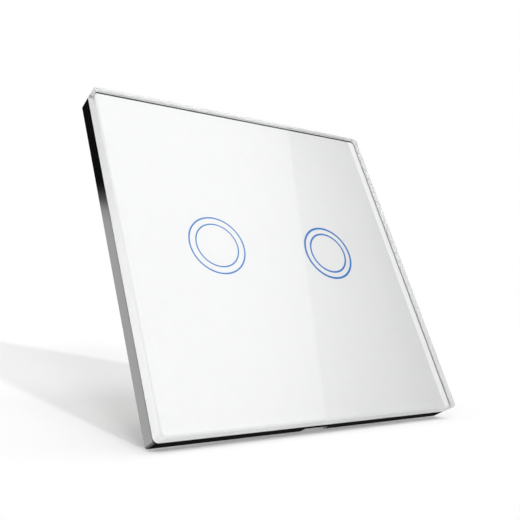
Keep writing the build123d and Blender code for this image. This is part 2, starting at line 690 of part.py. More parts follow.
# Transformer: a ferrite frame round a taped coil, on a moulded pin plate
plate_back = POWER_BOARD_BACK + COIL_PLATE
core_front = plate_back + COIL_OVERHANG
core_back = core_front + CORE_THICKNESS
window_width = (TRANSFORMER_WIDTH - CORE_LEG) / 2 - CORE_SIDE_LEG
window_length = TRANSFORMER_LENGTH - 2 * CORE_YOKE
with BuildPart() as transformer_core:
    with BuildSketch(facing_room(core_back, 0, TRANSFORMER_MIDDLE)):
        Rectangle(TRANSFORMER_WIDTH, TRANSFORMER_LENGTH)
        with GridLocations(CORE_LEG + window_width, 0, 2, 1):
            Rectangle(window_width, window_length, mode=Mode.SUBTRACT)
    extrude(amount=CORE_THICKNESS)
keep(transformer_core, "transformer_core")

with BuildPart() as transformer_coil:
    with BuildSketch(facing_room(core_back + COIL_OVERHANG, 0, TRANSFORMER_MIDDLE)):
        Rectangle(
            CORE_LEG + 2 * (window_width - COIL_GAP), window_length - 2 * COIL_GAP
        )
    extrude(amount=core_back + COIL_OVERHANG - plate_back)
    fillet(transformer_coil.edges().filter_by(Axis.Z), COIL_EDGE)
    with BuildSketch(facing_room(core_back + COIL_GAP, 0, TRANSFORMER_MIDDLE)):
        Rectangle(CORE_LEG + 2 * COIL_GAP, TRANSFORMER_LENGTH)
    extrude(amount=CORE_THICKNESS + 2 * COIL_GAP, mode=Mode.SUBTRACT)
keep(transformer_coil, "transformer_coil")

with BuildPart() as transformer_plate:
    with BuildSketch(facing_room(POWER_BOARD_BACK, 0, TRANSFORMER_MIDDLE)):
        Rectangle(TRANSFORMER_WIDTH, TRANSFORMER_LENGTH)
    extrude(amount=-COIL_PLATE)
keep(transformer_plate, "transformer_plate")

# Reservoir capacitor: an aluminium can with its rolled groove
groove_middle = POWER_BOARD_BACK + CAN_GROOVE_HEIGHT
with BuildPart() as reservoir_capacitor:
    with BuildSketch(facing_room(POWER_BOARD_BACK, 0, CAN_MIDDLE)):
        Circle(CAN_RADIUS)
    extrude(amount=-CAN_HEIGHT)
    fillet(reservoir_capacitor.edges().filter_by(GeomType.CIRCLE), CAN_EDGE)
    with BuildSketch(facing_room(groove_middle + CAN_GROOVE, 0, CAN_MIDDLE)):
        Circle(CAN_RADIUS)
        Circle(CAN_RADIUS - CAN_GROOVE, mode=Mode.SUBTRACT)
    extrude(amount=2 * CAN_GROOVE, mode=Mode.SUBTRACT)
keep(reservoir_capacitor, "reservoir_capacitor")

# Film capacitor: a potted box across the supply
with BuildPart() as film_capacitor:
    with BuildSketch(facing_room(POWER_BOARD_BACK, -FILM_SIDE, TOP_ROW_RISE)):
        Rectangle(FILM_WIDTH, FILM_LENGTH)
    extrude(amount=-FILM_HEIGHT)
    fillet(film_capacitor.edges().filter_by(Axis.Y), FILM_EDGE)
    chamfer(film_capacitor.faces().sort_by(Axis.Y)[-1].edges(), FILM_BEVEL)
keep(film_capacitor, "film_capacitor")

# Surge absorber: an epoxy-dipped disc on two wire legs
disc_middle = POWER_BOARD_BACK + DISC_STAND + DISC_RADIUS
with BuildPart() as surge_disc:
    with BuildSketch(Plane(origin=(0, disc_middle, TOP_ROW_RISE))):
        Circle(DISC_RADIUS)
    extrude(amount=DISC_THICKNESS / 2, both=True)
    fillet(surge_disc.edges().filter_by(GeomType.CIRCLE), DISC_EDGE)
    with BuildSketch(facing_room(POWER_BOARD_BACK, 0, TOP_ROW_RISE)):
        with GridLocations(DISC_LEAD_SPACING, 0, 2, 1):
            Rectangle(DISC_LEAD, DISC_LEAD)
    extrude(amount=-DISC_STAND - DISC_LEAD_SINK)
keep(surge_disc, "surge_disc")

# Fuse: a round moulded link
with BuildPart() as fuse_link:
    with BuildSketch(facing_room(POWER_BOARD_BACK, FUSE_SIDE, TOP_ROW_RISE)):
        Circle(FUSE_RADIUS)
    extrude(amount=-FUSE_HEIGHT)
    fillet(fuse_link.faces().sort_by(Axis.Y)[-1].edges(), FUSE_EDGE)
keep(fuse_link, "fuse_link")

# Terminal block: one chamber for each pole, open to the board, with a hole for the
# screw's head behind, a mouth for the wire below and a slot for the tongue's leg above
head_seat = TERMINAL_HEAD_START - SEAT_GAP
with BuildPart() as terminal_block:
    with BuildSketch(facing_room(CASE_FLOOR, 0, BLOCK_MIDDLE)):
        Rectangle(BLOCK_WIDTH, BLOCK_HEIGHT)
    extrude(amount=CASE_FLOOR - POWER_BOARD_BACK)
    with BuildSketch(facing_room(CHAMBER_END, 0, BLOCK_MIDDLE)):
        with GridLocations(POLE_PITCH, 0, POLES, 1):
            Rectangle(CHAMBER_WIDTH, CHAMBER_HEIGHT)
    extrude(amount=CHAMBER_END - POWER_BOARD_BACK, mode=Mode.SUBTRACT)
    with BuildSketch(facing_room(head_seat, 0, BLOCK_MIDDLE)):
        with GridLocations(POLE_PITCH, 0, POLES, 1):
            Circle(TERMINAL_SCREW_RADIUS + SEAT_GAP)
    extrude(amount=head_seat - CHAMBER_END, mode=Mode.SUBTRACT)
    with BuildSketch(facing_room(CASE_FLOOR, 0, BLOCK_MIDDLE)):
        with GridLocations(POLE_PITCH, 0, POLES, 1):
            Circle(DRIVER_HOLE_RADIUS)
    extrude(amount=CASE_FLOOR - head_seat, mode=Mode.SUBTRACT)
    with BuildSketch(Plane.XY.offset(BLOCK_BOTTOM)):
        with Locations(*[(pole_x, WIRE_DEPTH) for pole_x in POLE_PLACES]):
            Rectangle(WIRE_MOUTH_WIDTH, WIRE_MOUTH_DEPTH)
    extrude(amount=BLOCK_HEIGHT / 2, mode=Mode.SUBTRACT)
    slot_back = TONGUE_START + TONGUE + TONGUE_GAP
    slot_top = BLOCK_MIDDLE + TONGUE_RISE + TONGUE_GAP
    with BuildSketch(facing_room(slot_back, 0, (BLOCK_MIDDLE + slot_top) / 2)):
        with GridLocations(POLE_PITCH, 0, POLES, 1):
            Rectangle(TONGUE_WIDTH + 2 * TONGUE_GAP, slot_top - BLOCK_MIDDLE)
    extrude(amount=slot_back - POWER_BOARD_BACK, mode=Mode.SUBTRACT)
keep(terminal_block, "terminal_block")

# Terminal tongues: bent brass strips, each with a pin through the board
tongue_length = TONGUE_RISE + TONGUE_FALL
with BuildPart() as terminal_tongues:
    with BuildSketch(
        facing_room(TONGUE_START + TONGUE, 0, BLOCK_MIDDLE + TONGUE_RISE - tongue_length / 2)
    ):
        with GridLocations(POLE_PITCH, 0, POLES, 1):
            Rectangle(TONGUE_WIDTH, tongue_length)
    extrude(amount=TONGUE)
    with BuildSketch(facing_room(TONGUE_START, 0, tongue_leg_z)):
        with GridLocations(POLE_PITCH, 0, POLES, 1):
            Rectangle(TONGUE_WIDTH, TONGUE)
    extrude(amount=TONGUE_START - POWER_BOARD_BACK)
    with BuildSketch(facing_room(POWER_BOARD_BACK, 0, tongue_leg_z)):
        with GridLocations(POLE_PITCH, 0, POLES, 1):
            Rectangle(TONGUE_PIN, TONGUE_PIN)
    extrude(amount=POWER_BOARD + TONGUE_TAIL)
keep(terminal_tongues, "terminal_tongues")

# Cages and screws: turning a screw draws its cage back and grips the wire on the tongue
cage_back = CAGE_START + CAGE_BAR + CAGE_MOUTH + CAGE_NUT
screw_tip = TONGUE_START + TONGUE + SEAT_GAP
for number, pole_x in enumerate(POLE_PLACES, start=1):
    with BuildPart() as terminal_cage:
        with BuildSketch(facing_room(cage_back, pole_x, BLOCK_MIDDLE)):
            Rectangle(CAGE_WIDTH, CAGE_LENGTH)
        extrude(amount=cage_back - CAGE_START)
        fillet(terminal_cage.edges().filter_by(Axis.Z), CAGE_EDGE)
        with BuildSketch(facing_room(cage_back - CAGE_NUT, pole_x, BLOCK_MIDDLE)):
            Rectangle(CAGE_WIDTH - 2 * CAGE_WALL, CAGE_LENGTH)
        extrude(amount=CAGE_MOUTH, mode=Mode.SUBTRACT)
        with BuildSketch(facing_room(cage_back, pole_x, BLOCK_MIDDLE)):
            Circle(TERMINAL_SCREW_RADIUS + TERMINAL_SCREW_GAP)
        extrude(amount=CAGE_NUT, mode=Mode.SUBTRACT)
    keep(terminal_cage, f"terminal_cage_{number}")

    with BuildPart() as terminal_screw:
        with BuildSketch(facing_room(TERMINAL_HEAD_START, pole_x, BLOCK_MIDDLE)):
            Circle(TERMINAL_SCREW_RADIUS)
        extrude(amount=TERMINAL_HEAD_START - screw_tip)
        with BuildSketch(facing_room(TERMINAL_HEAD_START, pole_x, BLOCK_MIDDLE)):
            Circle(TERMINAL_HEAD_RADIUS)
        extrude(amount=-TERMINAL_HEAD)
        head_back = TERMINAL_HEAD_START + TERMINAL_HEAD
        with BuildSketch(facing_room(head_back, pole_x, BLOCK_MIDDLE)):
            Rectangle(DRIVER_SLOT, 2 * TERMINAL_HEAD_RADIUS)
        extrude(amount=DRIVER_SLOT_DEPTH, mode=Mode.SUBTRACT)
    keep(terminal_screw, f"terminal_screw_{number}")

# Rear case: an open box behind the yoke, with screw posts, board ribs, vents, a window
# behind the terminal screws and mouths for the wires below
with BuildPart() as rear_case:
    with BuildSketch(facing_room(CASE_DEPTH)):
        RectangleRounded(CASE_WIDTH, CASE_HEIGHT, CASE_CORNER)
    extrude(amount=CASE_DEPTH)
    fillet(rear_case.faces().sort_by(Axis.Y)[-1].edges(), CASE_EDGE)
    with BuildSketch(facing_room(0)):
        RectangleRounded(CASE_INSIDE_WIDTH, CASE_INSIDE_HEIGHT, CASE_CORNER - CASE_WALL)
    extrude(amount=-CASE_FLOOR, mode=Mode.SUBTRACT)
    with BuildSketch(facing_room(0)):
        with GridLocations(POST_SPACING_X, POST_SPACING_Z, 2, 2):
            Circle(POST_RADIUS)
    extrude(amount=-POST_LENGTH)
    with BuildSketch(facing_room(TOUCH_BOARD_BACK)):
        with GridLocations(CASE_INSIDE_WIDTH - SIDE_RIB, SIDE_RIB_SPACING, 2, 2):
            Rectangle(SIDE_RIB, RIB_WIDTH)
    extrude(amount=TOUCH_BOARD_BACK - CASE_FLOOR)
    with BuildSketch(facing_room(POWER_BOARD_BACK, 0, (CASE_INSIDE_HEIGHT - TOP_RIB) / 2)):
        with GridLocations(TOP_RIB_SPACING, 0, 2, 1):
            Rectangle(RIB_WIDTH, TOP_RIB)
    extrude(amount=POWER_BOARD_BACK - CASE_FLOOR)
    with BuildSketch(facing_room(0)):
        with GridLocations(POST_SPACING_X, POST_SPACING_Z, 2, 2):
            Circle(SCREW_RADIUS + THREAD_GAP)
    extrude(amount=-POST_LENGTH, mode=Mode.SUBTRACT)
    with BuildSketch(facing_room(CASE_DEPTH, 0, BLOCK_MIDDLE)):
        Rectangle(BLOCK_WIDTH - 2 * BLOCK_LIP, BLOCK_HEIGHT - 2 * BLOCK_LIP)
    extrude(amount=CASE_WALL, mode=Mode.SUBTRACT)
    with BuildSketch(facing_room(CASE_DEPTH, 0, VENT_BAND)):
        with GridLocations(VENT_PITCH, 0, VENT_COUNT, 1):
            SlotOverall(VENT_LENGTH, VENT_WIDTH, rotation=90)
    extrude(amount=CASE_WALL, mode=Mode.SUBTRACT)
    with BuildSketch(Plane.XY.offset(-CASE_HEIGHT / 2)):
        with Locations(*[(pole_x, WIRE_DEPTH) for pole_x in POLE_PLACES]):
            Rectangle(WIRE_MOUTH_WIDTH + 2 * BLOCK_GAP, WIRE_MOUTH_DEPTH + 2 * BLOCK_GAP)
    extrude(amount=CASE_WALL, mode=Mode.SUBTRACT)
keep(rear_case, "rear_case")

# Case screws: countersunk in the cover, through the yoke and into the case's posts
with BuildPart() as case_screws:
    with BuildSketch(facing_room(COVER_FRONT + SCREW_LENGTH)):
        with GridLocations(POST_SPACING_X, POST_SPACING_Z, 2, 2):
            Circle(SCREW_RADIUS)
    extrude(amount=SCREW_LENGTH - SCREW_HEAD)
    with BuildSketch(facing_room(COVER_FRONT + SCREW_HEAD)):
        with GridLocations(POST_SPACING_X, POST_SPACING_Z, 2, 2):
            Circle(SCREW_RADIUS)
    extrude(amount=SCREW_HEAD, taper=-HEAD_SLOPE)
    with BuildSketch(facing_room(COVER_FRONT + DRIVE_DEPTH)):
        with GridLocations(POST_SPACING_X, POST_SPACING_Z, 2, 2):
            Rectangle(DRIVE_LENGTH, DRIVE_WIDTH)
            Rectangle(DRIVE_WIDTH, DRIVE_LENGTH)
    extrude(amount=DRIVE_DEPTH, mode=Mode.SUBTRACT)
keep(case_screws, "case_screws")
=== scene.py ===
# %% [markdown]
# # A glass touch switch, dressed and lit
#
# The switch has two gangs. Its front is a plate of clear toughened glass with white
# enamel fired on the back, bonded to a thin rim of gloss black plastic. Behind it come a
# steel yoke and a plastic case that goes into the wall.
#
# The parts arrive ready made at their real size. This lesson gives them their finish,
# adds the few pieces that are too thin or too fine for the construction model, and then
# lights the switch as a product photographer would.

# %% Load the parts
import json
import math

import bmesh
import bpy
from mathutils import Matrix, Vector


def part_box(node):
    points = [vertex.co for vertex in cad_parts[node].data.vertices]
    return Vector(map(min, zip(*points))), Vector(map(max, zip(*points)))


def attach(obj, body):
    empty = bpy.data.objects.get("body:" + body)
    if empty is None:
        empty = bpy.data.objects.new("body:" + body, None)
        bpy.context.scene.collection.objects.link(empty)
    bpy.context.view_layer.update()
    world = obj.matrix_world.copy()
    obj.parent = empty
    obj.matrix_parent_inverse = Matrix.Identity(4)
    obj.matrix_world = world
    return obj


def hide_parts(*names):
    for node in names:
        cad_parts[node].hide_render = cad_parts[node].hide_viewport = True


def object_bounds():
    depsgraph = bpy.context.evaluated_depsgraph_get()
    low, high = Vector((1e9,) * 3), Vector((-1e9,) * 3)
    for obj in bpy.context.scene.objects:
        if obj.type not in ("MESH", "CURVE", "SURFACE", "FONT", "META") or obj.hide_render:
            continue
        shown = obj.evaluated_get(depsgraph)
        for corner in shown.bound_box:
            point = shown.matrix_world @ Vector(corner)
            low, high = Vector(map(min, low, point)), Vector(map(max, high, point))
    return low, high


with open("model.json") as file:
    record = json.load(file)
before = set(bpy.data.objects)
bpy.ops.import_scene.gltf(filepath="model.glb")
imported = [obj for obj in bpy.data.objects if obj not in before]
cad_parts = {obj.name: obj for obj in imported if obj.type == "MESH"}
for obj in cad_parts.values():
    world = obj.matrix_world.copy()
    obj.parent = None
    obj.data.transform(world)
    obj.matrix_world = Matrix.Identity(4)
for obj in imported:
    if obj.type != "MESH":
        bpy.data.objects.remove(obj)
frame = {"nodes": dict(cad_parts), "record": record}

cad_low, cad_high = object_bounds()
print("parts:", len(frame["nodes"]))
print("size in mm:", [round(1000 * side, 1) for side in cad_high - cad_low])

# %% [markdown]
# ## Millimetres and colours
#
# Blender's unit here is the metre, so a length in millimetres is multiplied by MM.
# Colours are written as the hex values that a paint program shows. Blender's sockets
# want linear light instead, and one function does that step for every colour.

# %% Lengths and colours
MM = 0.001


def linear(hex_colour):
    """The linear colour of an sRGB hex value, with full alpha."""
    channels = [int(hex_colour[place:place + 2], 16) / 255 for place in (1, 3, 5)]
    return tuple(
        c / 12.92 if c <= 0.04045 else ((c + 0.055) / 1.055) ** 2.4 for c in channels
    ) + (1.0,)


print("mid grey in linear light:", [round(c, 3) for c in linear("#808080")])

# %% [markdown]
# ## Building materials from nodes
#
# A material is a small network of nodes. Every node is made the same way: choose its
# kind, set its options, and give each input a number, a colour or the output of another
# node. One function does all of that, so each finish below reads like a recipe.
#
# Patterns are placed by Object coordinates, which are metres measured on the piece
# itself. A noise of scale 1 has lumps a metre across, so lumps of a real size need one
# divided by that size.

# %% Helpers for materials
def add(tree, kind, inputs=None, **options):
    """Add one node to a material, with its options, and set or link its inputs."""
    node = tree.nodes.new(kind)
    for name, value in options.items():
        setattr(node, name, value)
    for name, value in (inputs or {}).items():
        if isinstance(value, bpy.types.NodeSocket):
            tree.links.new(value, node.inputs[name])
        else:
            node.inputs[name].default_value = value
    return node


def begin(name, **surface):
    """Start a material: its node tree, its Principled surface and a place on the piece."""
    material = bpy.data.materials.new(name)
    material.use_nodes = True
    tree = material.node_tree
    principled = tree.nodes["Principled BSDF"]
    for key, value in surface.items():
        principled.inputs[key.replace("_", " ")].default_value = value
    place = add(tree, "ShaderNodeTexCoord").outputs["Object"]
    return material, tree, principled, place


slot_parts = {}
for entry in frame["record"]["subparts"]:
    slot_parts.setdefault(entry["material_slot"], []).append(entry["node"])


def dress(slot, material):
    """Give every part of a slot its finish."""
    for name in slot_parts[slot]:
        mesh = frame["nodes"][name].data
        mesh.materials.clear()
        mesh.materials.append(material)
    print(material.name, "on", ", ".join(slot_parts[slot]))


print("slots:", len(slot_parts))

# %% [markdown]
# ## The camera
#
# The photograph looks up at the switch from below on its left, from less than 20 cm
# away, so the lines of the plate run together strongly. The camera stands where those
# lines say. It is held level with the surface that the switch stands on, which leans
# against the switch's own upright because the switch rests on the rear edge of its case.

# %% Place the camera
FLOOR_UP = Vector((0.0, -0.4204, 0.9073))
SENSOR_WIDTH_MM = 36
FOCAL_LENGTH_MM = 49.708
camera_place = Vector((-109.2, -128.1, -74.36)) * MM
camera_aim = Vector((-7.71, -7.98, -2.61)) * MM
ahead = (camera_aim - camera_place).normalized()
aside = ahead.cross(FLOOR_UP).normalized()
above = aside.cross(ahead)

camera_data = bpy.data.cameras.new("photo_camera")
camera_data.sensor_width = SENSOR_WIDTH_MM
camera_data.lens = FOCAL_LENGTH_MM
camera = bpy.data.objects.new("photo_camera", camera_data)
turn = Matrix((aside, above, -ahead)).transposed().to_4x4()
camera.matrix_world = Matrix.Translation(camera_place) @ turn
bpy.context.scene.collection.objects.link(camera)
bpy.context.scene.camera = camera
bpy.context.scene.view_settings.view_transform = "Standard"
print("camera to the switch in mm:", round(1000 * (camera_aim - camera_place).length))

# %% [markdown]
# ## Working in edit mode from code
#
# New pieces are made with the same operators as by hand. An operator acts on whatever is
# selected, so each piece starts with nothing selected, and corners or faces are picked
# by a rule about their place. At the end the piece's place goes into its mesh, and it is
# told which moving body carries it.

# %% Helpers for pieces
def clear_selection():
    """Deselect everything, so that the next operator acts on one piece only."""
    bpy.ops.object.select_all(action="DESELECT")


def pick(piece, kind, rule):
    """In edit mode, select the verts or the faces that the rule chooses."""
    bpy.ops.mesh.select_mode(type={"verts": "VERT", "faces": "FACE"}[kind])
    bpy.ops.mesh.select_all(action="DESELECT")
    mesh = bmesh.from_edit_mesh(piece.data)
    for part in getattr(mesh, kind):
        if rule(part):
            part.select_set(True)
    mesh.select_flush_mode()
    bmesh.update_edit_mesh(piece.data)


def hand_over(piece, name, body, material, stands_for=()):
    """Fix the piece's place in its mesh, name it, finish it and let it ride on its body."""
    clear_selection()
    bpy.context.view_layer.objects.active = piece
    piece.select_set(True)
    bpy.ops.object.transform_apply(location=True, rotation=True, scale=True)
    piece.name = name
    piece.data.name = name
    piece.data.materials.clear()
    piece.data.materials.append(material)
    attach(piece, body)
    if stands_for:
        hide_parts(*stands_for)
    print(name, "faces:", len(piece.data.polygons))


print("helpers ready")

# %% [markdown]
# ## Clear glass
#
# The plate is float glass, cut, ground at its edges and then toughened. It is smooth
# enough to mirror the studio and bends what is seen through it, which makes the bright
# strips and the dark line along its edges. It is nearly without colour, and what little
# tint it has drifts slowly from place to place.
#
# The two faces are as the glass float left them, but the four sides are ground with
# diamond wheels and only lightly polished, so they are partly frosted: they blur what is
# seen through them, pass less light and look whitish themselves. The direction in which a
# face points tells the two apart.
#
# Rays that carry light rather than the view pass straight through, so the enamel behind
# the glass is lit without the noise of focused light.

# %% Toughened float glass
# A face counts as polished from this share of its direction along Y.
POLISHED_FACE = 0.9
EDGE_BLUR = 0.4
EDGE_CLEARNESS = 0.8


def toughened_float_glass():
    material, tree, surface, place = begin(
        "toughened_float_glass", Transmission_Weight=1.0, IOR=1.52
    )
    drift = add(
        tree, "ShaderNodeTexNoise", {"Vector": place, "Scale": 1 / (40 * MM), "Detail": 0.0}
    )
    tint = add(
        tree,
        "ShaderNodeMix",
        {"Factor": drift.outputs["Fac"], "A": linear("#FAFCFB"), "B": linear("#FCFDFD")},
        data_type="RGBA",
    )
    facing = add(tree, "ShaderNodeNewGeometry").outputs["True Normal"]
    axes = add(tree, "ShaderNodeSeparateXYZ", {"Vector": facing})
    flatness = add(tree, "ShaderNodeMath", {0: axes.outputs["Y"]}, operation="ABSOLUTE")
    ground = add(
        tree,
        "ShaderNodeMath",
        {0: flatness.outputs[0], 1: POLISHED_FACE},
        operation="LESS_THAN",
    )
    passing = add(
        tree,
        "ShaderNodeMix",
        {"Factor": ground.outputs[0], "A": tint.outputs["Result"], "B": linear("#E0E2E1")},
        data_type="RGBA",
    )
    tree.links.new(passing.outputs["Result"], surface.inputs["Base Color"])
    roughness = add(
        tree, "ShaderNodeMath", {0: ground.outputs[0], 1: EDGE_BLUR}, operation="MULTIPLY"
    )
    tree.links.new(roughness.outputs[0], surface.inputs["Roughness"])
    clearness = add(
        tree,
        "ShaderNodeMapRange",
        {"Value": ground.outputs[0], "To Min": 1.0, "To Max": EDGE_CLEARNESS},
    )
    tree.links.new(clearness.outputs["Result"], surface.inputs["Transmission Weight"])
    light_path = add(tree, "ShaderNodeLightPath")
    carries_light = add(
        tree,
        "ShaderNodeMath",
        {0: light_path.outputs["Is Shadow Ray"], 1: light_path.outputs["Is Diffuse Ray"]},
        operation="MAXIMUM",
    )
    straight_through = add(tree, "ShaderNodeBsdfTransparent")
    both = add(
        tree,
        "ShaderNodeMixShader",
        {
            "Fac": carries_light.outputs[0],
            1: surface.outputs["BSDF"],
            2: straight_through.outputs["BSDF"],
        },
    )
    output = tree.nodes["Material Output"]
    tree.links.new(both.outputs["Shader"], output.inputs["Surface"])
    return material


dress("glass", toughened_float_glass())

# %% [markdown]
# ## White enamel behind the glass
#
# Ceramic enamel is printed on the back of the glass and melts into it in the toughening
# furnace. There is no air between them, so the enamel has hardly any gloss of its own.
#
# Along the right edge, light that enters through the side of the glass makes the enamel look
# whiter. That light is painted into the enamel's colour as a paler border two millimetres wide,
# a painted highlight. Along the lower edge the same painted highlight is much fainter.

# %% Fired enamel
# Painted highlight: where the paler borders that stand for light through the glass's sides
# begin and reach full strength
RIGHT_PAINTED_LIGHT_START = 2.3 * MM
RIGHT_PAINTED_LIGHT_FULL = 1.6 * MM
LOWER_PAINTED_LIGHT_START = 2.6 * MM
LOWER_PAINTED_LIGHT_FULL = 0.8 * MM
LOWER_PAINTED_LIGHT_SHARE = 0.1
coat_low, coat_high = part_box("enamel_backing")


def fired_white_enamel():
    material, tree, surface, place = begin(
        "fired_white_enamel", Roughness=0.45, Specular_IOR_Level=0.1
    )
    mottling = add(
        tree, "ShaderNodeTexNoise", {"Vector": place, "Scale": 1 / (2.5 * MM), "Detail": 3.0}
    )
    white = add(
        tree,
        "ShaderNodeMix",
        {"Factor": mottling.outputs["Fac"], "A": linear("#E0E0E0"), "B": linear("#E4E4E4")},
        data_type="RGBA",
    )
    axes = add(tree, "ShaderNodeSeparateXYZ", {"Vector": place})
    # Painted highlight: the enamel is painted paler towards its right and lower edges, in place
    # of light that enters through the side of the glass
    right_painted_light = add(
        tree,
        "ShaderNodeMapRange",
        {
            "Value": axes.outputs["X"],
            "From Min": coat_high.x - RIGHT_PAINTED_LIGHT_START,
            "From Max": coat_high.x - RIGHT_PAINTED_LIGHT_FULL,
        },
        interpolation_type="SMOOTHSTEP",
    )
    lower_painted_light = add(
        tree,
        "ShaderNodeMapRange",
        {
            "Value": axes.outputs["Z"],
            "From Min": coat_low.z + LOWER_PAINTED_LIGHT_START,
            "From Max": coat_low.z + LOWER_PAINTED_LIGHT_FULL,
            "To Max": LOWER_PAINTED_LIGHT_SHARE,
        },
        interpolation_type="SMOOTHSTEP",
    )
    painted_light_border = add(
        tree,
        "ShaderNodeMath",
        {0: right_painted_light.outputs["Result"], 1: lower_painted_light.outputs["Result"]},
        operation="MAXIMUM",
    )
    with_painted_light = add(
        tree,
        "ShaderNodeMix",
        {"Factor": painted_light_border.outputs[0], "A": white.outputs["Result"], "B": linear("#F8F8F8")},
        data_type="RGBA",
    )
    tree.links.new(with_painted_light.outputs["Result"], surface.inputs["Base Color"])
    return material


enamel = fired_white_enamel()
dress("enamel", enamel)

# %% [markdown]
# ## The coat as a sheet of its own
#
# The construction model's coat touches the glass exactly, and a renderer can't tell two
# faces in one place apart. This coat is the same sheet, set a hundredth of a millimetre
# into the glass. It is printed a little nearer to the right edge of the glass, and a
# little further from the top one.
#
# It starts as a plane. Its corners are rounded by a vertex bevel and it gets its
# thickness from Solidify.

# %% Cut the coat
SINK = 0.01 * MM
PRINT_SHIFT = 0.06 * MM
TOP_SHIFT = 0.08 * MM
COAT_CORNER = 0.8 * MM
CORNER_STEPS = 8
coat_middle = (coat_low + coat_high) / 2
coat_front = coat_low.y - SINK

clear_selection()
bpy.ops.mesh.primitive_plane_add(
    size=coat_high.x - coat_low.x,
    location=(coat_middle.x, coat_front, coat_middle.z),
    rotation=(math.pi / 2, 0, 0),
)
coat = bpy.context.object
bpy.ops.object.mode_set(mode="EDIT")
bpy.ops.mesh.bevel(offset=COAT_CORNER, segments=CORNER_STEPS, affect="VERTICES")
pick(coat, "verts", lambda vert: (coat.matrix_world @ vert.co).x > coat_middle.x)
bpy.ops.transform.translate(value=(PRINT_SHIFT, 0, 0))
pick(coat, "verts", lambda vert: (coat.matrix_world @ vert.co).z > coat_middle.z)
bpy.ops.transform.translate(value=(0, 0, -TOP_SHIFT))
bpy.ops.object.mode_set(mode="OBJECT")
thickness = coat.modifiers.new("thickness", "SOLIDIFY")
thickness.thickness = coat_high.y - coat_low.y
thickness.offset = -1
bpy.ops.object.modifier_apply(modifier="thickness")
hand_over(coat, "enamel_coat", "front_panel", enamel, ["enamel_backing"])

# %% [markdown]
# ## Blue ink
#
# Each touch point is marked by two thin rings, screen printed on the glass before the
# white coat. Ink that is pushed through a mesh lies a little thicker in some places than
# in others, so its blue isn't quite even.

# %% Screen-printed ink
def screen_printed_ink():
    material, tree, surface, place = begin(
        "screen_printed_blue_ink", Roughness=0.5, Specular_IOR_Level=0.1
    )
    density = add(
        tree, "ShaderNodeTexNoise", {"Vector": place, "Scale": 1 / (0.4 * MM), "Detail": 2.0}
    )
    blue = add(
        tree,
        "ShaderNodeMix",
        {"Factor": density.outputs["Fac"], "A": linear("#1C6CB8"), "B": linear("#2A78C2")},
        data_type="RGBA",
    )
    tree.links.new(blue.outputs["Result"], surface.inputs["Base Color"])
    return material


ink = screen_printed_ink()
dress("ring_ink", ink)

# %% [markdown]
# ## The rings
#
# The rings lie between the glass and the white coat. The left mark is nearer to the
# camera, yet its lines look no thicker in the photograph than the right mark's, so they
# are drawn finer here.
#
# Each ring starts as a circle whose edge is extruded and scaled outwards, and Solidify
# gives it the thickness of the ink. One function makes a ring, and a loop makes the two
# marks.

# %% Print the rings
# Widths of the outer and the inner line of each mark
LINE_WIDTHS = {"left": (0.4 * MM, 0.35 * MM), "right": (0.58 * MM, 0.51 * MM)}
RING_STEP = 1.84 * MM
RING_CORNERS = 128
INK_THICKNESS = 0.006 * MM


def ring_band(middle, outside, width):
    """One flat ring that faces the front, from a circle extruded outwards."""
    clear_selection()
    bpy.ops.mesh.primitive_circle_add(
        vertices=RING_CORNERS,
        radius=outside - width,
        location=(middle.x, coat_front - SINK, middle.z),
        rotation=(math.pi / 2, 0, 0),
    )
    band = bpy.context.object
    bpy.ops.object.mode_set(mode="EDIT")
    bpy.ops.mesh.select_all(action="SELECT")
    bpy.ops.mesh.extrude_edges_move()
    growth = outside / (outside - width)
    bpy.ops.transform.resize(value=(growth, growth, growth))
    bpy.ops.object.mode_set(mode="OBJECT")
    return band


for side in ("left", "right"):
    ring_low, ring_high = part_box(f"ring_print_{side}")
    ring_middle = (ring_low + ring_high) / 2
    ring_outside = (ring_high.x - ring_low.x) / 2
    outer_line, inner_line = LINE_WIDTHS[side]
    inner_band = ring_band(ring_middle, ring_outside - RING_STEP, inner_line)
    mark = ring_band(ring_middle, ring_outside, outer_line)
    inner_band.select_set(True)
    bpy.ops.object.join()
    thickness = mark.modifiers.new("thickness", "SOLIDIFY")
    thickness.thickness = INK_THICKNESS
    bpy.ops.object.modifier_apply(modifier="thickness")
    bpy.ops.object.mode_set(mode="EDIT")
    bpy.ops.mesh.select_all(action="SELECT")
    bpy.ops.mesh.normals_make_consistent(inside=False)
    bpy.ops.object.mode_set(mode="OBJECT")
    hand_over(
        mark, f"ring_mark_{side}", "front_panel", ink, [f"ring_print_{side}"]
    )

# %% [markdown]
# ## A black seal round the glass
#
# Seen through the front, the bare rim of the glass behind the white coat is a thin dark
# line. It is dark because a bead of black sealant lies against the small bevel at the
# rear edge of the glass. It wets the glass along the top, where it soaks up all light,
# and stands a hair's breadth off at the other sides, where the bevel still mirrors.

# %% Black sealant
def black_sealant():
    material, tree, surface, place = begin(
        "black_silicone_sealant", Base_Color=linear("#0A0A0B"), Specular_IOR_Level=0.0
    )
    skin = add(
        tree, "ShaderNodeTexNoise", {"Vector": place, "Scale": 1 / (0.8 * MM), "Detail": 2.0}
    )
    dullness = add(
        tree,
        "ShaderNodeMapRange",
        {"Value": skin.outputs["Fac"], "To Min": 0.5, "To Max": 0.75},
    )
    tree.links.new(dullness.outputs["Result"], surface.inputs["Roughness"])
    return material


sealant = black_sealant()
print("material:", sealant.name)

# %% [markdown]
# ## The bead
#
# The bead starts as a plane in the place of the bevel's outer edge. An inset that is
# pushed back gives the slope, a second inset gives the flat, and the middle is deleted.
# The corner at the upper left goes as well, because the photograph shows no dark line in
# it. What is left is extruded straight back for its thickness.

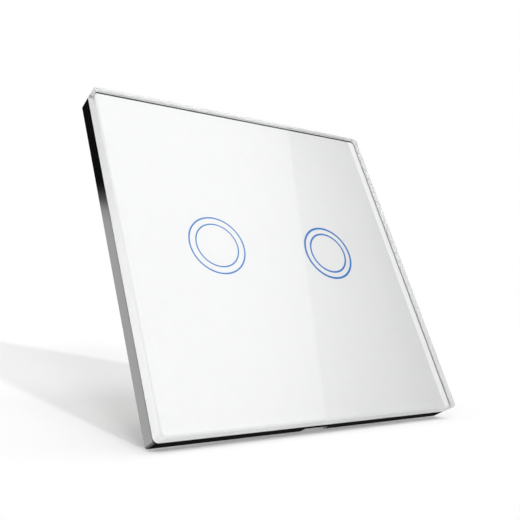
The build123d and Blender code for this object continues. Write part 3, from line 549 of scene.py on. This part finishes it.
# %% Lay the bead
GLASS_BEVEL = 0.35 * MM
BEAD_INSET = 0.05 * MM
BEAD_GAP = 0.03 * MM
BEAD_DROP = 0.04 * MM
BEAD_CORNER = 1.1 * MM
BEAD_REACH = 0.3 * MM
BEAD_THICKNESS = 0.04 * MM
glass_low, glass_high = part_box("glass_panel")
glass_middle = (glass_low + glass_high) / 2
bead_half = glass_high.x - glass_middle.x - BEAD_INSET
bead_front = glass_high.y - GLASS_BEVEL + BEAD_INSET + BEAD_GAP
coat_half = coat_high.x - coat_middle.x

clear_selection()
bpy.ops.mesh.primitive_plane_add(
    size=2 * bead_half,
    location=(glass_middle.x, bead_front, glass_middle.z - BEAD_DROP),
    rotation=(math.pi / 2, 0, 0),
)
bead = bpy.context.object
bpy.ops.object.mode_set(mode="EDIT")
bpy.ops.mesh.bevel(offset=BEAD_CORNER, segments=CORNER_STEPS, affect="VERTICES")
bpy.ops.mesh.select_all(action="SELECT")
bpy.ops.mesh.inset(thickness=GLASS_BEVEL, depth=0)
bpy.ops.transform.translate(value=(0, GLASS_BEVEL, 0))
bpy.ops.mesh.inset(thickness=bead_half - GLASS_BEVEL - coat_half + BEAD_REACH, depth=0)
bpy.ops.mesh.delete(type="FACE")
corner_start = bead_half - BEAD_CORNER


def at_upper_left(face):
    """Whether a face of the bead lies in the corner where the photograph shows none."""
    middle = bead.matrix_world @ face.calc_center_median()
    return middle.x < -corner_start and middle.z > corner_start


pick(bead, "faces", at_upper_left)
bpy.ops.mesh.delete(type="FACE")
bpy.ops.mesh.select_all(action="SELECT")
bpy.ops.mesh.extrude_region_move()
bpy.ops.transform.translate(value=(0, BEAD_THICKNESS, 0))
bpy.ops.mesh.select_all(action="SELECT")
bpy.ops.mesh.normals_make_consistent(inside=False)
bpy.ops.object.mode_set(mode="OBJECT")
hand_over(bead, "edge_bead", "front_panel", sealant)

# %% [markdown]
# ## The gloss black rim
#
# The rim behind the glass is ABS, injection moulded in a polished tool. It mirrors the
# studio nearly as well as the glass does, and only the slow drift of the melt shows as a
# faint wave in the reflections.

# %% Gloss black plastic
def gloss_black_plastic():
    material, tree, surface, place = begin(
        "gloss_black_moulded_abs", Base_Color=linear("#070708"), IOR=1.53
    )
    flow = add(
        tree, "ShaderNodeTexNoise", {"Vector": place, "Scale": 1 / (15 * MM), "Detail": 1.0}
    )
    polish = add(
        tree,
        "ShaderNodeMapRange",
        {"Value": flow.outputs["Fac"], "To Min": 0.03, "To Max": 0.07},
    )
    wave = add(
        tree, "ShaderNodeBump", {"Height": flow.outputs["Fac"], "Distance": 0.004 * MM}
    )
    tree.links.new(polish.outputs["Result"], surface.inputs["Roughness"])
    tree.links.new(wave.outputs["Normal"], surface.inputs["Normal"])
    return material


dress("frame_black", gloss_black_plastic())

# %% [markdown]
# ## Foam tape
#
# The glass is held to the rim by a black acrylic foam tape. Its cells are cut open at the
# edges, which makes it dull and slightly pitted.

# %% Foam tape
def foam_tape():
    material, tree, surface, place = begin("acrylic_foam_tape", Roughness=0.85)
    cells = add(tree, "ShaderNodeTexVoronoi", {"Vector": place, "Scale": 1 / (0.2 * MM)})
    black = add(
        tree,
        "ShaderNodeMix",
        {"Factor": cells.outputs["Distance"], "A": linear("#101011"), "B": linear("#222224")},
        data_type="RGBA",
    )
    pits = add(
        tree, "ShaderNodeBump", {"Height": cells.outputs["Distance"], "Distance": 0.04 * MM}
    )
    tree.links.new(black.outputs["Result"], surface.inputs["Base Color"])
    tree.links.new(pits.outputs["Normal"], surface.inputs["Normal"])
    return material


dress("tape", foam_tape())

# %% [markdown]
# ## Metals
#
# The yoke is steel strip with a coat of zinc, rolled and then pressed, so its sheen has
# the ragged patches of zinc crystals and fine lines along the rolling direction. Screws
# have a thinner, brighter zinc. The touch springs are drawn wire. Soft iron is grey and
# dull, and brass terminals carry a flash of nickel that is worn through in places.
#
# They differ in colour, roughness and pattern but are built alike, so one recipe makes
# them all: two tones in patches, and a brushed pattern that is stretched along one axis.

# %% Metal finishes
def worked_metal(name, tones, patch_mm, line_mm, polish, line_depth_mm):
    """A metal in two tones, with fine lines along X left by rolling, drawing or turning."""
    material, tree, surface, place = begin(name, Metallic=1.0)
    edges = add(
        tree, "ShaderNodeTexNoise", {"Vector": place, "Scale": 3 / (patch_mm * MM)}
    )
    ragged = add(
        tree,
        "ShaderNodeVectorMath",
        {0: edges.outputs["Color"], 1: (0.4 * patch_mm * MM,) * 3, 2: place},
        operation="MULTIPLY_ADD",
    )
    patches = add(
        tree,
        "ShaderNodeTexVoronoi",
        {"Vector": ragged.outputs["Vector"], "Scale": 1 / (patch_mm * MM)},
    )
    patch_tone = add(tree, "ShaderNodeSeparateXYZ", {"Vector": patches.outputs["Color"]})
    colour = add(
        tree,
        "ShaderNodeMix",
        {"Factor": patch_tone.outputs["X"], "A": linear(tones[0]), "B": linear(tones[1])},
        data_type="RGBA",
    )
    stretched = add(
        tree, "ShaderNodeMapping", {"Vector": place, "Scale": Vector((0.06, 1.0, 1.0))}
    )
    lines = add(
        tree,
        "ShaderNodeTexNoise",
        {"Vector": stretched.outputs["Vector"], "Scale": 1 / (line_mm * MM), "Detail": 3.0},
    )
    mixed = add(
        tree,
        "ShaderNodeMath",
        {0: lines.outputs["Fac"], 1: patch_tone.outputs["Y"]},
        operation="MULTIPLY",
    )
    roughness = add(
        tree,
        "ShaderNodeMapRange",
        {"Value": mixed.outputs[0], "From Max": 0.6, "To Min": polish[0], "To Max": polish[1]},
    )
    grooves = add(
        tree,
        "ShaderNodeBump",
        {"Height": lines.outputs["Fac"], "Distance": line_depth_mm * MM},
    )
    tree.links.new(colour.outputs["Result"], surface.inputs["Base Color"])
    tree.links.new(roughness.outputs["Result"], surface.inputs["Roughness"])
    tree.links.new(grooves.outputs["Normal"], surface.inputs["Normal"])
    return material


dress(
    "yoke_steel",
    worked_metal(
        "galvanised_rolled_steel", ("#A9AEB2", "#D2D5D7"), 5.0, 0.35, (0.28, 0.5), 0.01
    ),
)
dress(
    "screw_steel",
    worked_metal(
        "zinc_plated_screw_steel", ("#B9BDC4", "#DCDDD9"), 1.5, 0.2, (0.2, 0.36), 0.006
    ),
)
dress(
    "spring_steel",
    worked_metal("bright_spring_wire", ("#A8AAAD", "#C9CBCD"), 0.8, 0.1, (0.15, 0.3), 0.004),
)
dress(
    "soft_iron",
    worked_metal("annealed_soft_iron", ("#7E7C79", "#A3A19D"), 1.2, 0.15, (0.35, 0.55), 0.008),
)
dress(
    "terminal_brass",
    worked_metal("nickel_flashed_brass", ("#C9BC94", "#D8D0B8"), 1.6, 0.2, (0.22, 0.4), 0.006),
)
dress(
    "contact_brass",
    worked_metal("silver_faced_brass", ("#D9B866", "#E4CE97"), 1.0, 0.12, (0.2, 0.35), 0.004),
)
dress(
    "pin_plate",
    worked_metal("tin_plated_pins", ("#C6C3BC", "#DEDCD6"), 0.6, 0.1, (0.2, 0.35), 0.003),
)

# %% [markdown]
# ## Moulded plastics
#
# The case, the cover, the relay parts and the terminal block are injection moulded. The
# mould is spark eroded, which leaves an even matt grain of about a tenth of a millimetre.
# At the size of the picture that grain is too fine to see, so it is drawn two to three
# times as coarse. Slow drifts of tone come from the way that the melt filled the mould.

# %% Moulded plastic finishes
def moulded_plastic(name, tones, grain_mm, grain_depth_mm, polish):
    """A plastic in two close tones with the grain of a spark-eroded mould."""
    material, tree, surface, place = begin(name)
    drift = add(
        tree, "ShaderNodeTexNoise", {"Vector": place, "Scale": 1 / (9 * MM), "Detail": 2.0}
    )
    colour = add(
        tree,
        "ShaderNodeMix",
        {"Factor": drift.outputs["Fac"], "A": linear(tones[0]), "B": linear(tones[1])},
        data_type="RGBA",
    )
    sparks = add(
        tree,
        "ShaderNodeTexNoise",
        {"Vector": place, "Scale": 1 / (grain_mm * MM), "Detail": 2.0, "Roughness": 0.6},
    )
    roughness = add(
        tree,
        "ShaderNodeMapRange",
        {"Value": sparks.outputs["Fac"], "To Min": polish[0], "To Max": polish[1]},
    )
    texture = add(
        tree,
        "ShaderNodeBump",
        {"Height": sparks.outputs["Fac"], "Distance": grain_depth_mm * MM},
    )
    tree.links.new(colour.outputs["Result"], surface.inputs["Base Color"])
    tree.links.new(roughness.outputs["Result"], surface.inputs["Roughness"])
    tree.links.new(texture.outputs["Normal"], surface.inputs["Normal"])
    return material


# For each slot: a name, two tones, the grain's width and depth in mm, and the polish
PLASTICS = {
    "cover_white": ("matt_white_moulded_abs", ("#E9E8E3", "#EFEEEA"), 0.28, 0.02, (0.5, 0.68)),
    "case_white": ("matt_white_moulded_pbt", ("#E4E3DD", "#EBEAE5"), 0.3, 0.025, (0.52, 0.7)),
    "header_black": ("glass_filled_nylon", ("#151516", "#202022"), 0.2, 0.012, (0.45, 0.65)),
    "chip_black": ("moulded_black_epoxy", ("#161617", "#1E1E20"), 0.12, 0.008, (0.5, 0.65)),
    "relay_blue": ("blue_moulded_pbt", ("#1C4F96", "#245AA4"), 0.22, 0.012, (0.35, 0.5)),
    "relay_dark": ("black_moulded_pbt", ("#1A1A1B", "#242426"), 0.22, 0.012, (0.45, 0.6)),
    "bobbin_ivory": ("ivory_moulded_nylon", ("#E2DAC2", "#ECE5D2"), 0.25, 0.01, (0.4, 0.55)),
    "ferrite": ("sintered_ferrite", ("#262628", "#343437"), 0.35, 0.03, (0.55, 0.8)),
    "can_sleeve": ("black_shrink_sleeve", ("#11141A", "#1A1E26"), 0.5, 0.01, (0.22, 0.34)),
    "film_yellow": ("yellow_potted_box", ("#D9A521", "#E3B233"), 0.3, 0.012, (0.35, 0.5)),
    "disc_blue": ("blue_dipped_epoxy", ("#1F5FAE", "#2B70BD"), 1.2, 0.05, (0.2, 0.32)),
    "fuse_brown": ("brown_moulded_fuse", ("#4A2C1B", "#5B3924"), 0.25, 0.012, (0.35, 0.5)),
    "block_green": ("green_moulded_nylon", ("#2A7F45", "#338C4F"), 0.26, 0.014, (0.38, 0.55)),
}
for slot, recipe in PLASTICS.items():
    dress(slot, moulded_plastic(*recipe))

# %% [markdown]
# ## Numbers on the terminals
#
# The four poles are numbered, so that the wiring can be followed. The block is moulded
# in two shots: the numbers are of the case's white plastic, and stand a fifth of a
# millimetre proud of the green, below each screw. Each starts as a text object that
# faces the back at its pole, and is then made a mesh.

# %% Raised numbers
NUMBER_HEIGHT = 2.2 * MM
NUMBER_RAISE = 0.2 * MM
NUMBER_DROP = 4.0 * MM
# A digit's height as a share of the size that Blender gives its font
DIGIT_SHARE = 0.7
WELD_DISTANCE = 0.001 * MM
block_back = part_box("terminal_block")[1].y

for number in (1, 2, 3, 4):
    screw_low, screw_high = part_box(f"terminal_screw_{number}")
    screw_middle = (screw_low + screw_high) / 2
    clear_selection()
    bpy.ops.object.text_add(
        location=(screw_middle.x, block_back, screw_middle.z - NUMBER_DROP),
        rotation=(math.pi / 2, 0, math.pi),
    )
    numeral = bpy.context.object
    numeral.data.body = str(number)
    numeral.data.size = NUMBER_HEIGHT / DIGIT_SHARE
    numeral.data.extrude = NUMBER_RAISE
    numeral.data.align_x = "CENTER"
    numeral.data.align_y = "CENTER"
    bpy.ops.object.convert(target="MESH")
    bpy.ops.object.mode_set(mode="EDIT")
    bpy.ops.mesh.select_all(action="SELECT")
    bpy.ops.mesh.remove_doubles(threshold=WELD_DISTANCE)
    bpy.ops.mesh.normals_make_consistent(inside=False)
    bpy.ops.object.mode_set(mode="OBJECT")
    hand_over(
        numeral,
        f"pole_number_{number}",
        "switch_module",
        frame["nodes"]["rear_case"].data.materials[0],
    )

# %% [markdown]
# ## Milky guides and lamps
#
# The light guides behind the rings are milky polycarbonate, which scatters the lamps'
# light inside. Subsurface scattering gives them their soft depth. The lamps are small
# white packages with a yellow phosphor in the middle.

# %% Milky polycarbonate and lamps
def milky_polycarbonate():
    material, tree, surface, place = begin(
        "milky_polycarbonate", Subsurface_Weight=0.6, Subsurface_Scale=1.5 * MM, IOR=1.58
    )
    haze = add(
        tree, "ShaderNodeTexNoise", {"Vector": place, "Scale": 1 / (3 * MM), "Detail": 2.0}
    )
    milk = add(
        tree,
        "ShaderNodeMix",
        {"Factor": haze.outputs["Fac"], "A": linear("#E6E9EB"), "B": linear("#F1F3F4")},
        data_type="RGBA",
    )
    gloss = add(
        tree,
        "ShaderNodeMapRange",
        {"Value": haze.outputs["Fac"], "To Min": 0.18, "To Max": 0.3},
    )
    tree.links.new(milk.outputs["Result"], surface.inputs["Base Color"])
    tree.links.new(gloss.outputs["Result"], surface.inputs["Roughness"])
    return material


def lamp_package():
    material, tree, surface, place = begin("lamp_package_with_phosphor", Roughness=0.35)
    spots = add(tree, "ShaderNodeTexVoronoi", {"Vector": place, "Scale": 1 / (1.2 * MM)})
    colour = add(
        tree,
        "ShaderNodeMix",
        {"Factor": spots.outputs["Distance"], "A": linear("#E8C95A"), "B": linear("#F1F0EA")},
        data_type="RGBA",
    )
    tree.links.new(colour.outputs["Result"], surface.inputs["Base Color"])
    return material


dress("guide_milky", milky_polycarbonate())
dress("lamp_white", lamp_package())

# %% [markdown]
# ## Circuit boards
#
# A circuit board is glass cloth and epoxy with a green solder mask over copper tracks.
# The tracks stand a few hundredths of a millimetre proud and look lighter through the
# mask. They run side by side in bundles, some across the board and some down it. Square
# cells of a Voronoi texture choose between two sets of bands, so each cell is a bundle.
# On the sawn edges the bare cloth shows, pale and without mask.

# %% Circuit board
TRACK_PITCH = 1.5 * MM
BUNDLE_SIZE = 6.5 * MM
# A wave texture's bands repeat every pi / 10 of a metre at scale 1.
BAND_SCALE = math.pi / (10 * TRACK_PITCH)


def circuit_board():
    material, tree, surface, place = begin("green_masked_circuit_board", IOR=1.55)
    bundles = add(
        tree,
        "ShaderNodeTexVoronoi",
        {"Vector": place, "Scale": 1 / BUNDLE_SIZE},
        distance="CHEBYCHEV",
    )
    runs_down = add(
        tree,
        "ShaderNodeMath",
        {0: bundles.outputs["Color"], 1: 0.5},
        operation="GREATER_THAN",
    )
    across, down = (
        add(
            tree,
            "ShaderNodeTexWave",
            {"Vector": place, "Scale": BAND_SCALE},
            bands_direction=direction,
        )
        for direction in ("Z", "X")
    )
    bands = add(
        tree,
        "ShaderNodeMix",
        {
            "Factor": runs_down.outputs[0],
            "A": across.outputs["Color"],
            "B": down.outputs["Color"],
        },
        data_type="RGBA",
    )
    track = add(
        tree,
        "ShaderNodeMapRange",
        {"Value": bands.outputs["Result"], "From Min": 0.7, "From Max": 0.85},
    )
    masked = add(
        tree,
        "ShaderNodeMix",
        {"Factor": track.outputs["Result"], "A": linear("#0F5532"), "B": linear("#2A7A4B")},
        data_type="RGBA",
    )
    facing = add(tree, "ShaderNodeNewGeometry").outputs["True Normal"]
    axes = add(tree, "ShaderNodeSeparateXYZ", {"Vector": facing})
    flatness = add(tree, "ShaderNodeMath", {0: axes.outputs["Y"]}, operation="ABSOLUTE")
    is_flat = add(
        tree, "ShaderNodeMath", {0: flatness.outputs[0], 1: 0.5}, operation="GREATER_THAN"
    )
    colour = add(
        tree,
        "ShaderNodeMix",
        {"Factor": is_flat.outputs[0], "A": linear("#C4B27C"), "B": masked.outputs["Result"]},
        data_type="RGBA",
    )
    cloth = add(
        tree, "ShaderNodeTexNoise", {"Vector": place, "Scale": 1 / (0.5 * MM), "Detail": 1.0}
    )
    gloss = add(
        tree,
        "ShaderNodeMapRange",
        {"Value": cloth.outputs["Fac"], "To Min": 0.25, "To Max": 0.42},
    )
    raised = add(
        tree, "ShaderNodeBump", {"Height": track.outputs["Result"], "Distance": 0.05 * MM}
    )
    tree.links.new(colour.outputs["Result"], surface.inputs["Base Color"])
    tree.links.new(gloss.outputs["Result"], surface.inputs["Roughness"])
    tree.links.new(raised.outputs["Normal"], surface.inputs["Normal"])
    return material


dress("board_green", circuit_board())

# %% [markdown]
# ## Windings
#
# The relay coils are wound from enamelled copper wire, and the transformer's winding is
# covered with yellow polyester tape. Both are turns of something thin round an axis that
# points into the wall, so a wave along Y gives one ridge for each turn. The wire is a
# tenth of a millimetre thick, too fine to show, and is drawn two and a half times as
# thick.

# %% Wound wire and tape
def wound_turns(name, tones, turn_mm, depth_mm, polish, metallic):
    """Turns round an axis along Y, with a clear coat over them."""
    material, tree, surface, place = begin(
        name, Metallic=metallic, Coat_Weight=0.6, Coat_Roughness=0.15
    )
    turns = add(
        tree,
        "ShaderNodeTexWave",
        {"Vector": place, "Scale": math.pi / (10 * turn_mm * MM), "Distortion": 0.6},
        bands_direction="Y",
    )
    colour = add(
        tree,
        "ShaderNodeMix",
        {"Factor": turns.outputs["Fac"], "A": linear(tones[0]), "B": linear(tones[1])},
        data_type="RGBA",
    )
    roughness = add(
        tree,
        "ShaderNodeMapRange",
        {"Value": turns.outputs["Fac"], "To Min": polish[0], "To Max": polish[1]},
    )
    ridges = add(
        tree, "ShaderNodeBump", {"Height": turns.outputs["Fac"], "Distance": depth_mm * MM}
    )
    tree.links.new(colour.outputs["Result"], surface.inputs["Base Color"])
    tree.links.new(roughness.outputs["Result"], surface.inputs["Roughness"])
    tree.links.new(ridges.outputs["Normal"], surface.inputs["Normal"])
    return material


dress(
    "copper_wire",
    wound_turns("enamelled_copper_wire", ("#8C4A22", "#C9743C"), 0.25, 0.06, (0.25, 0.4), 1.0),
)
dress(
    "coil_tape",
    wound_turns("polyester_coil_tape", ("#C79A1E", "#DDB536"), 2.4, 0.05, (0.2, 0.35), 0.0),
)

# %% [markdown]
# ## White paper
#
# The switch stands on a sheet of matt white paper. Near the switch the sheet takes its
# shadow, and further out it fades to the pure white of the background. A faint glow that
# only the camera sees lifts it by a fiftieth of white. Seen from below the sheet is clear,
# so that it never hides the switch in another view.

# %% White paper
FLOOR_WHITE = 0.847
FLOOR_LIFT = 0.02
FADE_START = 3500 * MM
FADE_END = 7500 * MM


def white_sheet():
    material, tree, surface, place = begin(
        "matt_white_paper",
        Base_Color=(FLOOR_WHITE, FLOOR_WHITE, FLOOR_WHITE, 1),
        Roughness=0.9,
        Specular_IOR_Level=0.0,
    )
    light_path = add(tree, "ShaderNodeLightPath")
    glow = add(tree, "ShaderNodeEmission", {"Color": linear("#FFFFFF")})
    lift = add(
        tree,
        "ShaderNodeMath",
        {0: light_path.outputs["Is Camera Ray"], 1: FLOOR_LIFT},
        operation="MULTIPLY",
    )
    tree.links.new(lift.outputs[0], glow.inputs["Strength"])
    lit = add(
        tree, "ShaderNodeAddShader", {0: surface.outputs["BSDF"], 1: glow.outputs["Emission"]}
    )
    reach = add(tree, "ShaderNodeVectorMath", {0: place}, operation="LENGTH")
    fade = add(
        tree,
        "ShaderNodeMapRange",
        {"Value": reach.outputs["Value"], "From Min": FADE_START, "From Max": FADE_END},
        interpolation_type="SMOOTHSTEP",
    )
    white = add(tree, "ShaderNodeEmission", {"Color": linear("#FFFFFF"), "Strength": 1.0})
    far = add(
        tree,
        "ShaderNodeMixShader",
        {"Fac": fade.outputs["Result"], 1: lit.outputs["Shader"], 2: white.outputs["Emission"]},
    )
    clear = add(tree, "ShaderNodeBsdfTransparent")
    behind = add(tree, "ShaderNodeNewGeometry").outputs["Backfacing"]
    sided = add(
        tree,
        "ShaderNodeMixShader",
        {"Fac": behind, 1: far.outputs["Shader"], 2: clear.outputs["BSDF"]},
    )
    output = tree.nodes["Material Output"]
    tree.links.new(sided.outputs["Shader"], output.inputs["Surface"])
    return material


paper = white_sheet()
print("material:", paper.name)

# %% [markdown]
# ## The floor
#
# The sheet is a large plane. It passes just under the lower rear edge of the rim and is
# turned to the upright that the camera uses. Reflections leave it out, so the gloss
# mirrors the studio alone.

# %% Lay the floor
FLOOR_SIZE = 16000 * MM
stand_point = Vector((0, 0, cad_low.z))

clear_selection()
bpy.ops.mesh.primitive_plane_add(size=FLOOR_SIZE, location=stand_point)
floor = bpy.context.object
floor.name = "floor_sheet"
floor.rotation_euler = FLOOR_UP.to_track_quat("Z", "Y").to_euler()
floor.data.materials.append(paper)
floor.visible_glossy = False
print("floor leans by degrees:", round(math.degrees(FLOOR_UP.angle(Vector((0, 0, 1)))), 1))

# %% [markdown]
# ## White surroundings
#
# The white surroundings give most of the light. The world is pure white where the camera
# looks, and where glass or gloss shows it, and a third dimmer where it lights the object,
# so that pale parts keep their tone.

# %% White surroundings
LIGHT_ON_OBJECT = 0.66
world = bpy.data.worlds.new("white_studio")
world.use_nodes = True
bpy.context.scene.world = world
sky = world.node_tree
seen = add(sky, "ShaderNodeLightPath")
straight = add(
    sky,
    "ShaderNodeMath",
    {0: seen.outputs["Is Camera Ray"], 1: seen.outputs["Is Glossy Ray"]},
    operation="MAXIMUM",
)
viewed = add(
    sky,
    "ShaderNodeMath",
    {0: straight.outputs[0], 1: seen.outputs["Is Transmission Ray"]},
    operation="MAXIMUM",
)
strength = add(
    sky, "ShaderNodeMapRange", {"Value": viewed.outputs[0], "To Min": LIGHT_ON_OBJECT}
)
sky.nodes["Background"].inputs["Color"].default_value = linear("#FFFFFF")
sky.links.new(strength.outputs["Result"], sky.nodes["Background"].inputs["Strength"])
print("world nodes:", len(sky.nodes))

# %% [markdown]
# ## A lamp in front
#
# One soft round lamp in front, slightly above and to the left, gives the relief its
# light.

# %% Hang the lamp
LAMP_DISTANCE = 600 * MM
LAMP_SIZE = 220 * MM
LAMP_WATTS = 0.65
to_lamp = Vector((-0.10, -0.98, 0.18)).normalized()
lamp_data = bpy.data.lights.new("front_lamp", "AREA")
lamp_data.shape = "DISK"
lamp_data.size = LAMP_SIZE
lamp_data.energy = LAMP_WATTS
lamp = bpy.data.objects.new("front_lamp", lamp_data)
lamp.location = to_lamp * LAMP_DISTANCE
lamp.rotation_euler = to_lamp.to_track_quat("Z", "Y").to_euler()
bpy.context.scene.collection.objects.link(lamp)
print("lamp stands at mm:", [round(1000 * v) for v in lamp.location])

# %% [markdown]
# ## A spot for the left of the plate
#
# A spot in the lamp's place is aimed so far to the left that the soft edge of its cone
# falls across the right quarter of the plate, which makes that quarter darker.
#
# The aim is found from that edge. SPOT_EDGE is where it crosses the plate, to the right
# of the middle, and from there the aim lies one SPOT_REACH to the left and slightly up,
# because the edge leans like that in the photograph.
#
# Light linking keeps both lamps off the floor, so that they don't wash out its shadow.

# %% Aim the spot
SPOT_REACH = 200 * MM
SPOT_EDGE = 52 * MM
SPOT_SIZE = 25 * MM
SPOT_SOFTNESS = 0.44
SPOT_WATTS = 3.9
from_edge = Vector((-0.98, 0, 0.2))
spot_place = Vector((-60, -588, 108)) * MM
spot_aim = Vector((SPOT_EDGE, cad_low.y, 0)) + SPOT_REACH * from_edge
spot_way = spot_place - spot_aim
spot_data = bpy.data.lights.new("edge_spot", "SPOT")
spot_data.shadow_soft_size = SPOT_SIZE
spot_data.spot_size = 2 * math.atan(SPOT_REACH / spot_way.length)
spot_data.spot_blend = SPOT_SOFTNESS
spot_data.energy = SPOT_WATTS
spot = bpy.data.objects.new("edge_spot", spot_data)
spot.location = spot_place
spot.rotation_euler = spot_way.to_track_quat("Z", "Y").to_euler()
bpy.context.scene.collection.objects.link(spot)

all_but_floor = bpy.data.collections.new("all_but_floor")
all_but_floor.objects.link(floor)
all_but_floor.collection_objects[0].light_linking.link_state = "EXCLUDE"
lamp.light_linking.receiver_collection = all_but_floor
spot.light_linking.receiver_collection = all_but_floor
print("spot's cone in degrees:", round(math.degrees(spot_data.spot_size), 1))

# %% [markdown]
# ## The long shadow
#
# The photograph's shadow runs back from the switch towards the horizon and gets deeper
# near the switch, and a short soft one lies in front. Four suns draw it: one almost level
# for the long pale part, a broad one turned further for its soft side, a high and very
# soft one for the deeper part near the switch, and one from behind for the part in front.
# Light linking lets them reach the floor only, so the switch keeps its even light but
# still throws its shadow.
#
# Their shares, the world's light and the glow add up to about one, the white of the
# background. With more than that, the picture would cut off the paler part of the shadow.

# %% Suns for the floor
floor_front = Vector((0, -FLOOR_UP.z, FLOOR_UP.y))
floor_left = Vector((-1, 0, 0))
floor_only = bpy.data.collections.new("floor_only")
floor_only.objects.link(floor)


def floor_sun(name, height_degrees, turn_degrees, softness_degrees, share):
    """A sun that gives the floor this share of white, at this height and turned left."""
    height = math.radians(height_degrees)
    turn = math.radians(turn_degrees)
    level = math.cos(turn) * floor_front + math.sin(turn) * floor_left
    to_sun = math.cos(height) * level + math.sin(height) * FLOOR_UP
    data = bpy.data.lights.new(name, "SUN")
    data.angle = math.radians(softness_degrees)
    data.energy = share * math.pi / (FLOOR_WHITE * math.sin(height))
    sun = bpy.data.objects.new(name, data)
    sun.rotation_euler = to_sun.to_track_quat("Z", "Y").to_euler()
    sun.light_linking.receiver_collection = floor_only
    bpy.context.scene.collection.objects.link(sun)
    print(name, "strength:", round(data.energy, 2))


# Height, turn to the left and softness in degrees, then the share of white
floor_sun("level_sun", 2.7, 8.5, 2.5, 0.13)
floor_sun("broad_sun", 6.0, 18.0, 9.0, 0.08)
floor_sun("high_sun", 40, 8.5, 34.0, 0.14)
floor_sun("back_sun", 118, 8.5, 24.0, 0.09)

# %% [markdown]
# ## Cards that only reflections see
#
# Gloss is drawn by what it mirrors. The large softbox in front is mirrored faintly in the
# whole plate. Its straight edge is the step of tone that runs down the plate from the
# top, and it falls off further to the right. A second one behind on the left lights the
# lower half of the rim's side, and a black card keeps the rim's underside dark. A small
# one in front on the left keeps the narrow bevel of the glass as light as the plate. A
# grey card far behind gives the metal on the back something to mirror besides white. All
# are seen only in reflections, so they put no extra light on the object.
#
# How bright a card is across its width is drawn as a gradient: a row of stops, each with
# its place in millimetres and its brightness, where 1 is white. Two stops close together
# make an edge.

# %% A card with a gradient
DIMMING_START = 100 * MM
DIMMING_END = 470 * MM


def softbox(name, low, high, across, stops, top_share=1.0):
    """An upright card facing along Y, whose brightness changes along one direction.

    The stops are pairs of distance along that direction, in mm, and brightness. The card
    fades with height to the top share of its brightness.
    """
    clear_selection()
    middle = (low + high) / 2
    bpy.ops.mesh.primitive_plane_add(size=1, location=middle, rotation=(math.pi / 2, 0, 0))
    card = bpy.context.object
    card.scale = (high.x - low.x, high.z - low.z, 1)
    bpy.ops.object.transform_apply(location=True, rotation=True, scale=True)
    card.name = name
    material, tree, surface, place = begin(name)
    start, end = stops[0][0], stops[-1][0]
    brightest = max(brightness for distance, brightness in stops)
    along = add(tree, "ShaderNodeVectorMath", {0: place, 1: across}, operation="DOT_PRODUCT")
    share = add(
        tree,
        "ShaderNodeMapRange",
        {"Value": along.outputs["Value"], "From Min": start * MM, "From Max": end * MM},
    )
    gradient = add(tree, "ShaderNodeValToRGB", {"Fac": share.outputs["Result"]})
    colours = gradient.color_ramp.elements
    for distance, brightness in stops[1:-1]:
        colours.new((distance - start) / (end - start))
    for element, (distance, brightness) in zip(colours, stops):
        grey = brightness / brightest
        element.color = (grey, grey, grey, 1)
    height = add(tree, "ShaderNodeSeparateXYZ", {"Vector": place}).outputs["Z"]
    strength = add(
        tree,
        "ShaderNodeMapRange",
        {
            "Value": height,
            "From Min": DIMMING_START,
            "From Max": DIMMING_END,
            "To Min": brightest,
            "To Max": brightest * top_share,
        },
    )
    light = add(
        tree,
        "ShaderNodeEmission",
        {"Color": gradient.outputs["Color"], "Strength": strength.outputs["Result"]},
    )
    tree.links.new(light.outputs["Emission"], tree.nodes["Material Output"].inputs["Surface"])
    card.data.materials.append(material)
    card.visible_camera = False
    card.visible_diffuse = False
    card.visible_shadow = False
    card.visible_transmission = False
    print(name, "brightness:", stops[0][1], "to", stops[-1][1])


print("cards dim between mm:", round(1000 * DIMMING_START), round(1000 * DIMMING_END))

# %% [markdown]
# ## Placing the cards
#
# Each card is given by its lower left and upper right corner, the direction in which its
# brightness changes, and its stops. The front one's direction leans by twelve degrees,
# as the step on the plate does.

# %% Softboxes and dark cards
softbox(
    "front_softbox",
    Vector((-700, -488, -500)) * MM,
    Vector((760, -488, 900)) * MM,
    across=Vector((-0.9795, 0, 0.2014)),
    stops=[(-578, 0.1), (-545, 0.25), (-520, 0.5), (-404, 0.62), (-400, 1.3), (-280, 1.45)],
    top_share=0.95,
)
softbox(
    "side_softbox",
    Vector((-800, 600, -200)) * MM,
    Vector((-150, 600, 1200)) * MM,
    across=Vector((0, 0, 1)),
    stops=[
        (150, 3.1), (366, 2.55), (400, 2.35), (420, 1.95), (438, 0.53), (454, 0.11), (466, 0.02)
    ],
)
softbox(
    "black_card",
    Vector((60, 400, -300)) * MM,
    Vector((760, 400, -70)) * MM,
    across=Vector((0, 0, 1)),
    stops=[(-300, 0.02), (-70, 0.02)],
)
softbox(
    "bevel_card",
    Vector((-580, -245, 0)) * MM,
    Vector((-380, -245, 540)) * MM,
    across=Vector((0, 0, 1)),
    stops=[(0, 3.6), (130, 3.3), (280, 2.0), (450, 0.6)],
)
softbox(
    "grey_card",
    Vector((-140, 700, -120)) * MM,
    Vector((460, 700, 520)) * MM,
    across=Vector((0.8, 0, 0.6)),
    stops=[(-140, 1.0), (20, 0.25), (330, 0.15), (640, 0.9)],
)
